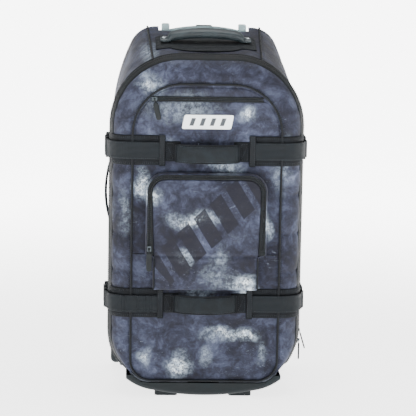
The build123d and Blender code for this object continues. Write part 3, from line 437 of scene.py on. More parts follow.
def make(name, verts, faces, mats, body=None, slot=None, replaced=(), smooth=True, mods=()):
    """A mesh object with its materials, modifiers, body and the CAD nodes that it stands for; its slot
    argument is not used.
    """
    mesh = bpy.data.meshes.new(name)
    mesh.from_pydata([tuple(map(float, v)) for v in verts], [], [tuple(map(int, f)) for f in faces])
    mesh.validate()
    mesh.update()
    obj = bpy.data.objects.new(name, mesh)
    bpy.context.scene.collection.objects.link(obj)
    for mat in ([mats] if isinstance(mats, str) else mats):
        mesh.materials.append(MATERIALS[mat])
    mesh.polygons.foreach_set("use_smooth", [smooth] * len(mesh.polygons))
    for kind, props in mods:
        mod = obj.modifiers.new(kind.lower(), kind)
        for key, value in props.items():
            setattr(mod, key, value)
    if replaced:
        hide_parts(*replaced)
    if body:
        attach(obj, body)
    return obj


def grid_faces(rows, cols, closed=False, skip=None):
    """Quads over a grid of points, round again when closed, without those that skip(row, column) names."""
    faces = []
    for r in range(rows - 1):
        for c in range(cols if closed else cols - 1):
            if skip and skip(r, c):
                continue
            d = (c + 1) % cols
            faces.append((r * cols + c, r * cols + d, (r + 1) * cols + d, (r + 1) * cols + c))
    return faces


def facing(verts, faces, outward):
    """The faces, turned over if most of them look against outward(centre)."""
    verts = np.asarray(verts, float)
    votes = 0.0
    for f in faces[::max(1, len(faces) // 200)]:
        a, b, c = verts[f[0]], verts[f[1]], verts[f[2]]
        votes += float(np.dot(np.cross(b - a, c - a), outward(verts[list(f)].mean(0))))
    return faces if votes >= 0 else [f[::-1] for f in faces]


def swept(name, path, section, mats, up=UP, closed=False, scale=None, **kw):
    """A closed section carried along a path. Section points are (along up, along the outward normal)."""
    path = np.asarray(path, float)
    n = len(path)
    section = np.asarray(section, float)
    verts = []
    for i, p in enumerate(path):
        before = path[(i - 1) % n] if closed or i else path[0]
        after = path[(i + 1) % n] if closed or i < n - 1 else path[-1]
        tangent = after - before
        tangent = tangent / np.linalg.norm(tangent)
        side = np.array(up[i] if np.ndim(up) == 2 else up, float)
        side = side - tangent * np.dot(side, tangent)
        side /= np.linalg.norm(side)
        normal = np.cross(tangent, side)
        sec = section if scale is None else section * np.asarray(scale(i / (n - 1)))
        verts.extend(p + a * side + b * normal for a, b in sec)
    m = len(section)
    faces = []
    for i in range(n if closed else n - 1):
        j = (i + 1) % n
        faces.extend((i * m + c, i * m + (c + 1) % m, j * m + (c + 1) % m, j * m + c) for c in range(m))
    if not closed:
        faces += [tuple(range(m)), tuple(range((n - 1) * m, n * m))[::-1]]
    area = 0.0
    for (a0, b0), (a1, b1) in zip(section, np.roll(section, -1, axis=0)):
        area += a0 * b1 - a1 * b0
    if area > 0:
        faces = [f[::-1] for f in faces]
    return make(name, verts, faces, mats, **kw)


def circle(r, n=12):
    return [(r * math.cos(2 * math.pi * k / n), r * math.sin(2 * math.pi * k / n)) for k in range(n)]


def flat_section(width, thick, n=10, crown=0.0):
    """A flat band's section: rounded edges, and a crown that lifts its middle."""
    xs = np.linspace(-1, 1, n + 1)
    top = [(x * (width / 2 - thick * 0.35), thick / 2 + crown * (1 - x * x)) for x in xs]
    low = [(x * (width / 2 - thick * 0.35), -thick / 2) for x in xs[::-1]]
    return top + [(width / 2, 0.0)] + low + [(-width / 2, 0.0)]


def smooth_path(points, n):
    """An even run of n points on a smooth curve through the given ones."""
    p = np.asarray(points, float)
    out = []
    for i in range(len(p) - 1):
        a, b, c, d = p[max(i - 1, 0)], p[i], p[i + 1], p[min(i + 2, len(p) - 1)]
        for k in range(16):
            t = k / 16
            bend = (2 * a - 5 * b + 4 * c - d) * t * t + (3 * b - 3 * c + d - a) * t ** 3
            out.append(0.5 * (2 * b + (c - a) * t + bend))
    out.append(p[-1])
    out = np.array(out)
    run = lengths(out)
    want = np.linspace(0, run[-1], n)
    return np.stack([np.interp(want, run, out[:, k]) for k in range(3)], -1)


def rumple(p, scale, seed):
    """Smooth noise between about -1 and 1."""
    q = Vector((p[0] * scale[0] + seed * 7.1, p[1] * scale[1] - seed * 3.3, p[2] * scale[2] + seed * 1.7))
    return 0.65 * noise.noise(q) + 0.35 * noise.noise(q * 2.3)


def push(obj, amount, flat_front=False):
    """Moves each point along its normal by amount(point, normal); a flat front moves straight out."""
    mesh = obj.data
    normals = [v.normal.copy() for v in mesh.vertices]
    for v, nrm in zip(mesh.vertices, normals):
        if flat_front and v.co.y < FRONT_Y + 1e-4:
            nrm = Vector(AHEAD)
        v.co += nrm * amount(v.co, nrm)
    mesh.update()


def keep_rest(obj):
    """Stores each point's place, so that a weave stays put when a pose bends the piece."""
    mesh = obj.data
    co = np.zeros(len(mesh.vertices) * 3, np.float32)
    mesh.vertices.foreach_get("co", co)
    mesh.attributes.new("rest_co", "FLOAT_VECTOR", "POINT").data.foreach_set("vector", co)


def stitches(name, paths, body, slot="webbing"):
    """Runs of thread: small spindles laid end to end along each (path, outward) pair."""
    length, gap, r = 0.0030, 0.0016, 0.00042
    verts, faces = [], []
    for path, outward in paths:
        path = np.asarray(path, float)
        run = lengths(path)
        count = int(run[-1] // (length + gap))
        for k in range(count):
            ends = [(k + 0.25) * (length + gap), (k + 0.25) * (length + gap) + length]
            a, b = (np.array([np.interp(e, run, path[:, j]) for j in range(3)]) for e in ends)
            out = np.asarray(outward(0.5 * (a + b)) if callable(outward) else outward, float)
            axis = (b - a) / np.linalg.norm(b - a)
            out = out - axis * np.dot(out, axis)
            out /= np.linalg.norm(out)
            side = np.cross(axis, out)
            base = len(verts)
            verts.append(a)
            for f in (0.3, 0.7):
                c = a + (b - a) * f
                verts += [c + out * r, c + side * r, c - out * r, c - side * r]
            verts.append(b)
            for q in range(4):
                w = (q + 1) % 4
                faces += [(base, base + 1 + w, base + 1 + q),
                          (base + 1 + q, base + 1 + w, base + 5 + w, base + 5 + q),
                          (base + 9, base + 5 + q, base + 5 + w)]
    return make(name, verts, faces, "thread", body=body, slot=slot)


def teeth(name, path, outward, body, pitch=0.0024, width=0.0040, height=0.0012):
    """A zip's closed coil: rounded bars side by side along a path, each across it."""
    path = np.asarray(path, float)
    run = lengths(path)
    verts, faces = [], []
    for k in range(int(run[-1] // pitch)):
        s = (k + 0.5) * pitch
        p, q = (np.array([np.interp(e, run, path[:, j]) for j in range(3)]) for e in (s, s + 0.0005))
        axis = (q - p) / max(np.linalg.norm(q - p), 1e-9)
        out = np.asarray(outward(p) if callable(outward) else outward, float)
        side = np.cross(axis, out)
        base = len(verts)
        for f, h in ((-1, 0.15), (-0.6, 0.95), (0, 1.0), (0.6, 0.95), (1, 0.15)):
            c = p + side * f * width / 2
            for d, lift in ((-0.36, 0.0), (-0.26, h), (0.26, h), (0.36, 0.0)):
                verts.append(c + axis * d * pitch + out * (lift * height))
        for r in range(4):
            for c in range(3):
                a = base + r * 4 + c
                faces.append((a, a + 4, a + 5, a + 1))
        faces += [(base, base + 1, base + 2, base + 3), (base + 19, base + 18, base + 17, base + 16)]
        faces += [(base + r * 4, base + r * 4 + 3, base + r * 4 + 7, base + r * 4 + 4) for r in range(4)]
    return make(name, verts, faces, "zip_coil", body=body, slot="zip")


def strip(name, path, normal_to, width, thick, mats, n=10, crown=0.0, **kw):
    """A flat band along a path, its width lying along normal_to."""
    return swept(name, path, flat_section(width, thick, n, crown), mats, up=normal_to, **kw)


SOLID = dict(thickness=0.0035, offset=-1.0, material_offset=1, material_offset_rim=1)
SUB = ("SUBSURF", dict(levels=1, render_levels=1))


def line_cloth(obj, node, body, thickness=SOLID["thickness"]):
    """Gives a cloth panel its thickness and lining, the CAD node it stands for and its body."""
    mod = obj.modifiers.new("thickness", "SOLIDIFY")
    for key, value in dict(SOLID, thickness=thickness).items():
        setattr(mod, key, value)
    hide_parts(node)
    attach(obj, body)


# ---- gussets, top and bottom panels ---------------------------------------------------------
def seam_x(y):
    """The top seam's distance from the middle."""
    return 0.117 + (0.130 - 0.117) * (y - (ZIP_Y - 0.030)) / ((BACK_Y + 0.030) - (ZIP_Y - 0.030))


def gusset(side):
    """A side panel, open at the wheel's well, sagging between the straps."""
    hand = "right" if side > 0 else "left"
    stations = list(np.linspace(ZIP_Y + 0.0008, 0.0967, 34))
    stations += list(np.linspace(0.0967, BACK_Y - 0.0002, 12))[1:]
    n1, n2, n3 = 4, 14, 112
    cols = n1 + n2 + n3 + 1
    verts = []
    for y in stations:
        poly = body_outline(y)
        peak = peak_of(poly)
        marks = [crossing(poly, 0, 0.1223), crossing(poly, 0, WELL_X), crossing(poly, 1, WELL_TOP, 10),
                 crossing(poly, 0, seam_x(y) + 0.0002, peak + 1)]
        ts = spaced(poly, marks[0], marks[1], n1) + spaced(poly, marks[1], marks[2], n2)
        ts += spaced(poly, marks[2], marks[3], n3) + [marks[3]]
        verts += [(side * x, y, z) for x, z in at(poly, ts)]

    def in_well(r, c):
        # the cloth laps a little way round the housing's front corner
        lap = abs(verts[r * cols + c][0]) >= 0.197 and stations[r] < 0.1095
        return stations[r] >= WELL_Y and n1 <= c < n1 + n2 and not lap

    faces = facing(verts, grid_faces(len(stations), cols, skip=in_well), lambda c: (side, 0, 0.2))
    obj = make(f"{hand}_side_panel", verts, faces, ["print_fabric", "lining"])

    def shape(p, n):
        s = (p.y - ZIP_Y) / (BACK_Y - ZIP_Y)
        edge = min(1.0, s / 0.10, (1 - s) / 0.10)
        edge = max(0.0, edge) ** 0.7
        seam = min(1.0, max(0.0, (abs(p.x) - seam_x(p.y)) / 0.02)) if p.z > 0.7 else 1.0
        well = 1.0 if p.z > 0.16 else max(0.0, (p.z - 0.108) / 0.052)
        soft = 0.0016 * rumple(p, (9, 13, 7), 3 + side) + 0.0009 * rumple(p, (30, 34, 22), 5 + side)
        sag = -0.0016 * math.exp(-((p.z - 0.40) / 0.16) ** 2) * math.sin(math.pi * min(1, max(0, s)))
        folds = -0.0015 * max(0.0, math.sin(p.z * 62 + 3.0 * rumple(p, (5, 8, 5), 9))) ** 6
        strap = math.exp(-((p.z - UPPER_Z) / 0.024) ** 4) + math.exp(-((p.z - LOWER_Z) / 0.024) ** 4)
        if side > 0:
            strap += 1.0 if (p.y < 0.012 and 0.325 < p.z < 0.39) else 0.0
        else:
            strap += 1.0 if (-0.04 < p.y < 0.016 and 0.345 < p.z < 0.535) else 0.0
        return ((soft + folds) * edge + sag) * seam * well * (1 - min(1, strap)) - 0.0006 * min(1, strap)

    push(obj, shape)
    line_cloth(obj, f"{hand}_gusset", "bag")


def top_panel():
    """The sloping top, open at the trolley handle's cup."""
    stations = list(np.linspace(ZIP_Y + 0.0008, CUP_Y, 36))
    stations += list(np.linspace(CUP_Y, BACK_Y - 0.0002, 8))[1:]
    n1, n2 = 8, 40
    verts = []
    for y in stations:
        poly = body_outline(y)
        peak = peak_of(poly)
        a, b = crossing(poly, 0, seam_x(y) - 0.0002, peak + 1), crossing(poly, 0, 0.1038, peak + 1)
        right = [tuple(p) for p in at(poly,
                                      spaced(poly, a, b, n1) + spaced(poly, b, len(poly) - 1, n2 // 2))]
        verts += [(x, y, z) for x, z in right] + [(0, y, poly[-1][1])] + [(-x, y, z)
                for x, z in reversed(right)]
    cols = 2 * (n1 + n2 // 2) + 1

    def in_cup(r, c):
        return stations[r] >= 0.1244 and n1 <= c < cols - 1 - n1

    faces = facing(verts, grid_faces(len(stations), cols, skip=in_cup), lambda c: (0, 0, 1))
    obj = make("top_panel_cloth", verts, faces, ["print_fabric", "lining"])

    def shape(p, n):
        s = (p.y - ZIP_Y) / (BACK_Y - ZIP_Y)
        edge = max(0.0, min(1.0, s / 0.10, (1 - s) / 0.10)) ** 0.7
        seam = min(1.0, max(0.0, (seam_x(p.y) - abs(p.x)) / 0.02))
        under = 1.0 if (-0.062 < p.y < 0.074 and abs(p.x) < 0.114) or p.y > 0.118 else 0.0
        dent = 0.0024 * math.exp(-((p.y + 0.06) / 0.03) ** 2 - (p.x / 0.07) ** 2)
        soft = 0.0013 * rumple(p, (10, 12, 8), 21) - dent
        return soft * edge * seam * (1 - 0.6 * under) - 0.0004 * under

    push(obj, shape)
    line_cloth(obj, "top_panel", "bag")


def bottom_panel():
    """The cloth floor, lightly ribbed by the boards under it."""
    stations = np.linspace(ZIP_Y + 0.0008, BACK_Y - 0.0045, 40)
    verts = []
    cols = 41
    for y in stations:
        poly = body_outline(y)
        ts = spaced(poly, 0, crossing(poly, 0, 0.1217), 20)[1:] + [crossing(poly, 0, 0.1217)]
        right = at(poly, ts)
        verts += [(-x, y, z) for x, z in right[::-1]] + [(0, y, poly[0][1])] + [(x, y, z) for x, z in right]
    faces = facing(verts, grid_faces(len(stations), cols), lambda c: (0, 0, -1))
    obj = make("bottom_panel_cloth", verts, faces, ["black_fabric", "lining"])
    push(obj, lambda p, n: -0.0005 - 0.0012 * (0.5 + 0.5 * math.cos(p.x * 2 * math.pi / 0.040)) ** 4 * 0.6)
    line_cloth(obj, "bottom_panel", "bag")


def rear_sheet(name, y, inset, thick, node, mats, quilt, notch_low):
    """An upright panel across the back, notched for the handle's cup and the wheel housings."""
    poly = body_outline(min(y, BACK_Y), -inset)
    low, top = poly[:, 1].min(), poly[:, 1].max()
    zs = list(np.linspace(low, WELL_TOP, 12)) + list(np.linspace(WELL_TOP, notch_low, 72))[1:] + \
        list(np.linspace(notch_low, top - 0.0002, 8))[1:]
    verts = []
    parts = [(0.0, CUP_X, 14), (CUP_X, WELL_X, 6), (WELL_X, 1.0, 6)]
    for z in zs:
        w = half_width(poly, z)
        xs = []
        for a, b, n in parts:
            a, b = min(a, w), min(b, w)
            xs += list(np.linspace(a, b, n + 1)[:-1])
        xs.append(w)
        verts += [(-x, y, z) for x in reversed(xs[1:])] + [(x, y, z) for x in xs]
    cols = 2 * 26 + 1

    def hole(r, c):
        off = min(abs(c - 26), abs(c + 1 - 26))
        return (zs[r] >= notch_low - 1e-6 and off < 14) or (zs[r] < 0.1082 and off >= 20)

    faces = facing(verts, grid_faces(len(zs), cols, skip=hole), lambda c: (0, 1, 0))
    obj = make(name, verts, faces, mats)
    bm = bmesh.new()
    bm.from_mesh(obj.data)
    bmesh.ops.remove_doubles(bm, verts=bm.verts, dist=1e-6)
    bmesh.ops.dissolve_degenerate(bm, edges=bm.edges, dist=1e-6)
    loose = [v for v in bm.verts if not v.link_faces]
    bmesh.ops.delete(bm, geom=loose, context="VERTS")
    bm.to_mesh(obj.data)
    bm.free()

    def shape(p, n):
        w = half_width(poly, p.z)
        edge = max(0.0, min(1.0, (w - abs(p.x)) / 0.02, (p.z - low) / 0.02, (top - p.z) / 0.02))
        return -quilt * edge * (math.exp(-((((p.x + 0.5) % 0.052) - 0.026) / 0.0024) ** 2)
                                + 0.4 * (0.5 + 0.5 * rumple(p, (12, 1, 9), 31)))

    push(obj, shape)
    line_cloth(obj, node, "bag", thick)


gusset(-1)
gusset(1)
top_panel()
bottom_panel()
rear_sheet("back_panel_cloth", BACK_Y, 0.0002, 0.0034, "back_panel", ["black_fabric", "black_fabric"],
           0.0012, CUP_Z)
rear_sheet("back_liner_cloth", 0.132, 0.0052, 0.0024, "back_liner", ["lining", "lining"], 0.0010,
           CUP_Z - 0.002)


# ---- lid ------------------------------------------------------------------------------------
def lid():
    """The lid in one piece: its rounded sides and its flat face, soft and creased between the straps."""
    n1, n2 = 10, 150
    rings, marks = [], None
    for t in [None] + list(np.linspace(0, 1, 15)):
        y, poly = lid_outline(t or 0.0)
        if t is None:
            y = ZIP_Y - 0.0008
        a = crossing(poly, 0, 0.124)
        marks = spaced(poly, 0, a, n1) + spaced(poly, a, len(poly) - 1, n2) + [float(len(poly) - 1)]
        if t is None:
            rings += [(y, at(poly, marks)), (-0.104, at(poly, marks))]
        else:
            rings.append((y, at(poly, marks)))
    for inset in list(np.arange(0.004, 0.148, 0.0075)) + [0.150]:
        poly = arch(0.166 - inset, LID_LOW + inset, ZIP_TOP - TOP_DROP - inset, max(0.042 - inset, 0.003),
                    max(0.108 - inset, 0.003))
        rings.append((FRONT_Y, at(poly, marks)))
    verts, m = [], len(rings[0][1])
    cols = 2 * m - 2
    for y, ring in rings:
        verts += [(x, y, z) for x, z in ring] + [(-x, y, z) for x, z in ring[-2:0:-1]]

    def no_wall(r, c):
        return r < 11 and (c < n1 or c >= cols - n1)

    faces = grid_faces(len(rings), cols, closed=True, skip=no_wall)
    base = (len(rings) - 1) * cols
    faces.append(tuple(range(base, base + cols)))
    # every face looks away from the lid's middle
    v = np.array(verts)
    turned = []
    for f in faces:
        a, b, c = v[f[0]], v[f[1]], v[f[2]]
        centre = v[list(f)].mean(0)
        if centre[1] < -0.1535:
            want = np.array([centre[0], -0.6, (centre[2] - 0.39) * 0.6])
        else:
            rise = np.clip((centre[2] - 0.39) / 0.36, -1, 1)
            want = np.array([centre[0] / 0.208, (centre[1] + 0.112) / 0.05, rise])
        turned.append(f if np.dot(np.cross(b - a, c - a), want) >= 0 else f[::-1])
    votes = sum(a is b for a, b in zip(faces, turned))
    faces = faces if votes >= len(faces) / 2 else [f[::-1] for f in faces]
    obj = make("lid_cloth", verts, faces, ["print_fabric", "lining"])

    def shape(p, n):
        flat = 1.0 if p.y < FRONT_Y + 0.0008 else 0.0
        rim = max(0.0, min(1.0, (ZIP_Y - 0.022 - p.y) / 0.020))
        covered = 0.0
        for z in (UPPER_Z, LOWER_Z):
            if abs(p.x) > 0.055:
                covered = max(covered, min(1.0, max(0.0, (0.040 - abs(p.z - z)) / 0.006)))
        if flat and p.z > 0.578 and abs(p.x) < 0.158:
            covered = 1.0
        if flat and abs(p.x) < 0.136 and 0.242 < p.z < 0.506:
            covered = 1.0
        soft = 0.0016 * rumple(p, (11, 11, 8), 1) + 0.0008 * rumple(p, (34, 34, 26), 2)
        creases = 0.0
        for z, depth, wave in ((0.451, 0.0030, 0.004), (0.364, 0.0034, 0.005), (0.282, 0.0030, 0.004),
                               (0.508, 0.0020, 0.003), (0.640, 0.0014, 0.006), (0.150, 0.0018, 0.005)):
            at_z = z + wave * rumple(p, (20, 20, 1), z * 10)
            creases -= depth * math.exp(-((p.z - at_z) / 0.0035) ** 2)
        side_zone = min(1.0, max(0.0, (abs(p.x) - 0.150) / 0.02)) if p.z < 0.72 else 0.0
        swell = 0.5 - 0.5 * math.cos(2 * math.pi * (p.z - 0.282) / 0.084)
        billow = 0.0022 * side_zone * swell if 0.25 < p.z < 0.52 else 0.0
        lower = 0.0016 * rumple(p, (14, 14, 20), 12) if p.z < 0.18 else 0.0
        under_piping = -0.0008 * math.exp(-((abs(p.x) - 0.162) / 0.004) ** 2) if flat else 0.0
        out = soft + creases * side_zone + billow + lower
        if flat:
            out = (min(out, 0.0012) - 0.0006) * min(1.0, max(0.0, (abs(p.x) - 0.022) / 0.02))
        return out * rim * (1 - covered) + under_piping - 0.0003 * covered * min(1.0, abs(p.x) / 0.06)

    push(obj, shape, flat_front=True)
    line_cloth(obj, "lid_shell", "lid", 0.0036)


lid()


# ---- piping ---------------------------------------------------------------------------------
def both_halves(poly, y, start=0.0, stop=None, n=None):
    """An outline's points from its right foot over the top to its left foot, at y."""
    stop = float(len(poly) - 1) if stop is None else stop
    right = at(poly, np.linspace(start, stop, n or int((stop - start) * 1.3) + 2))
    points = [(x, y, z) for x, z in right]
    return points + [(-x, y, z) for x, z in right[::-1] if x > 1e-6]


def piping():
    """The cords on the lid's face, down the back's edges and along the top's two seams."""
    poly = arch(0.162, 0.0378, 0.693, 0.046, 0.107)
    loop = both_halves(poly, FRONT_Y - 0.0028)
    swept("lid_piping", loop[:-1] if np.allclose(loop[0], loop[-1]) else loop, circle(PIPING_R, 12),
          "piping", up=AHEAD, closed=True, body="lid", slot="black_fabric", replaced=["front_piping"])
    flange = arch(0.1672, 0.0335, 0.698, 0.0505, 0.1122)
    paths = [(both_halves(flange, FRONT_Y - 0.0006, 20), AHEAD)]
    stitches("lid_piping_stitches", paths, "lid", slot="black_fabric")
    rear = body_outline(BACK_Y, -0.003)
    start = crossing(rear, 1, 0.111, 15)
    end = crossing(rear, 0, CUP_X, 60)
    path = [(x, BACK_Y + 0.0031, z) for x, z in at(rear, np.linspace(start, end, 150))]
    for side, name in ((-1, "left"), (1, "right")):
        pts = [(side * x, y, z) for x, y, z in path]
        swept(f"{name}_rear_piping", pts, circle(PIPING_R, 10), "piping", up=(0, 1, 0), body="bag",
              slot="black_fabric")
        ridge = []
        for y in np.linspace(ZIP_Y + 0.0065, BACK_Y, 60):
            outline = body_outline(y, 0.0014)
            peak = peak_of(outline)
            x, z = at(outline, crossing(outline, 0, seam_x(y) + 0.0005, peak + 1))
            ridge.append((side * x, y, z))
        top = swept(f"{name}_top_piping", ridge, circle(PIPING_R, 10), "piping", up=(side * 0.4, 0, 1),
                    body="bag", slot="black_fabric")
        if side < 0:
            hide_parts("body_piping")
        beside = [(side * (abs(x) + 0.0065), y, z - 0.0065 * 0.40 + 0.0002) for x, y, z in ridge]
        stitches(f"{name}_top_seam_stitches", [(beside, (side * 0.4, 0, 1))], "bag", slot="black_fabric")


piping()


# ---- upper pocket, its zip and the badge ----------------------------------------------------
def upper_pocket():
    """The layer of cloth over the lid's head, in two parts, with its straight zip between them."""
    outline = arch(0.156, 0.400, 0.687, 0.003, 0.101)
    for name, low, high in (("upper_pocket_lower", 0.5845, 0.6558), ("upper_pocket_upper", 0.6664, 0.6866)):
        zs = np.linspace(low, high, max(6, int((high - low) / 0.0028)))
        verts = []
        for z in zs:
            w = half_width(outline, z)
            for u in np.linspace(-1, 1, 71):
                x = u * w
                v = (z - low) / (high - low)
                crown = (1 - u ** 8) * (1 - abs(2 * v - 1) ** 3)
                tuck = -0.0009 * math.exp(-((z - (low if high < 0.66 else high)) / 0.003) ** 2)
                ripple = 0.0005 * rumple((x, 0, z), (26, 1, 30), 4) * crown
                y = FRONT_Y - 0.0017 - 0.0007 * crown - tuck + ripple
                verts.append((x, y, z))
        faces = facing(verts, grid_faces(len(zs), 71), lambda c: AHEAD)
        solid = dict(thickness=0.0012, offset=-1, material_offset=1, material_offset_rim=0)
        obj = make(name, verts, faces, ["print_fabric", "lining"], mods=[("SOLIDIFY", solid), SUB])
        if name == "upper_pocket_lower":
            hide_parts("upper_pocket")
        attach(obj, "lid")
    z = UPPER_ZIP_Z
    for name, off in (("upper_zip_tape_low", -0.0036), ("upper_zip_tape_high", 0.0036)):
        path = smooth_path([(-0.1205, FRONT_Y - 0.0024, z + off), (0, FRONT_Y - 0.0026, z + off),
                            (0.1205, FRONT_Y - 0.0024, z + off)], 60)
        strip(name, path, UP, 0.0042, 0.0009, "zip", n=4, body="lid", slot="zip",
              replaced=["upper_pocket_zip"] if off < 0 else ())
    line_path = [(x, FRONT_Y - 0.0024, z) for x in np.linspace(-0.119, 0.119, 60)]
    teeth("upper_zip_coil", line_path, AHEAD, "lid", width=0.0038)
    rows = [([(x, FRONT_Y - 0.0030, z + s * 0.0072) for x in np.linspace(-0.114, 0.114, 40)], AHEAD)
            for s in (-1, 1)]
    stitches("upper_zip_stitches", rows, "lid", slot="zip")


def badge():
    """A slanting plate with a raised rim and four plain bars on it."""
    cx, cz = 0.0, BADGE_Z
    half_w, half_h, lean, r = 0.0535, 0.0155, 0.003, 0.004

    def outline(inset, y):
        out = []
        for sx, sz, a0 in ((1, -1, -90), (1, 1, 0), (-1, 1, 90), (-1, -1, 180)):
            for k in range(7):
                t = math.radians(a0 + 15 * k)
                x = sx * (half_w - r) + (r - inset) * math.cos(t)
                z = sz * (half_h - r) + (r - inset) * math.sin(t)
                out.append((cx + x + lean * z / half_h, y, cz + z))
        return out

    y0 = FRONT_Y - 0.0025
    rings = [outline(0.0, y0), outline(0.0, y0 - 0.0010), outline(0.0005, y0 - 0.0016),
             outline(0.0016, y0 - 0.0016), outline(0.0020, y0 - 0.0012), outline(0.0034, y0 - 0.0012)]
    verts = [p for ring in rings for p in ring] + [(cx, y0 - 0.0012, cz)]
    n = len(rings[0])
    faces = grid_faces(len(rings), n, closed=True)
    base = (len(rings) - 1) * n
    faces += [(base + k, base + (k + 1) % n, len(verts) - 1) for k in range(n)]
    faces += [tuple(range(n))[::-1]]
    faces = facing(verts, faces[n:-1], lambda c: AHEAD) + faces[:n] + faces[-1:]
    make("badge_plate", verts, faces, "badge", body="lid", slot="badge", replaced=["badge"], smooth=False)
    verts, faces, w = [], [], 0.0090
    for x in (-0.036, -0.014, 0.008, 0.030):
        base = len(verts)
        for y in (y0 - 0.0012, y0 - 0.0018):
            for dx, dz in ((-w / 2, -1), (w / 2, -1), (w / 2, 1), (-w / 2, 1)):
                verts.append((x + 0.003 + dx + 0.0028 * dz, y, cz + dz * 0.0082))
        faces += [(base + 4, base + 5, base + 6, base + 7)]
        faces += [(base + k, base + (k + 1) % 4, base + 4 + (k + 1) % 4, base + 4 + k) for k in range(4)]
    make("badge_bars", verts, facing(verts, faces, lambda c: AHEAD), "badge_ink", body="lid", slot="badge",
         smooth=False, mods=[("BEVEL", dict(width=0.0002, segments=2))])


upper_pocket()
badge()


# ---- centre pocket --------------------------------------------------------------------------
def pocket_path(inset, low=None, taper=0.0):
    """The centre pocket's zip line: left foot, over the top, right foot, as (x, z)."""
    half, top, r = POCKET["half"] - inset, POCKET["top"] - inset, POCKET["r"] - inset
    low = POCKET["fold"] if low is None else low
    right = line((half - taper, low), (half, top - r), 40) + arc((half - r, top - r), r, 0, 90, 22)
    right += line((half - r, top), (0, top), 20)
    return right + [(0.0, top)] + [(-x, z) for x, z in right[::-1]]


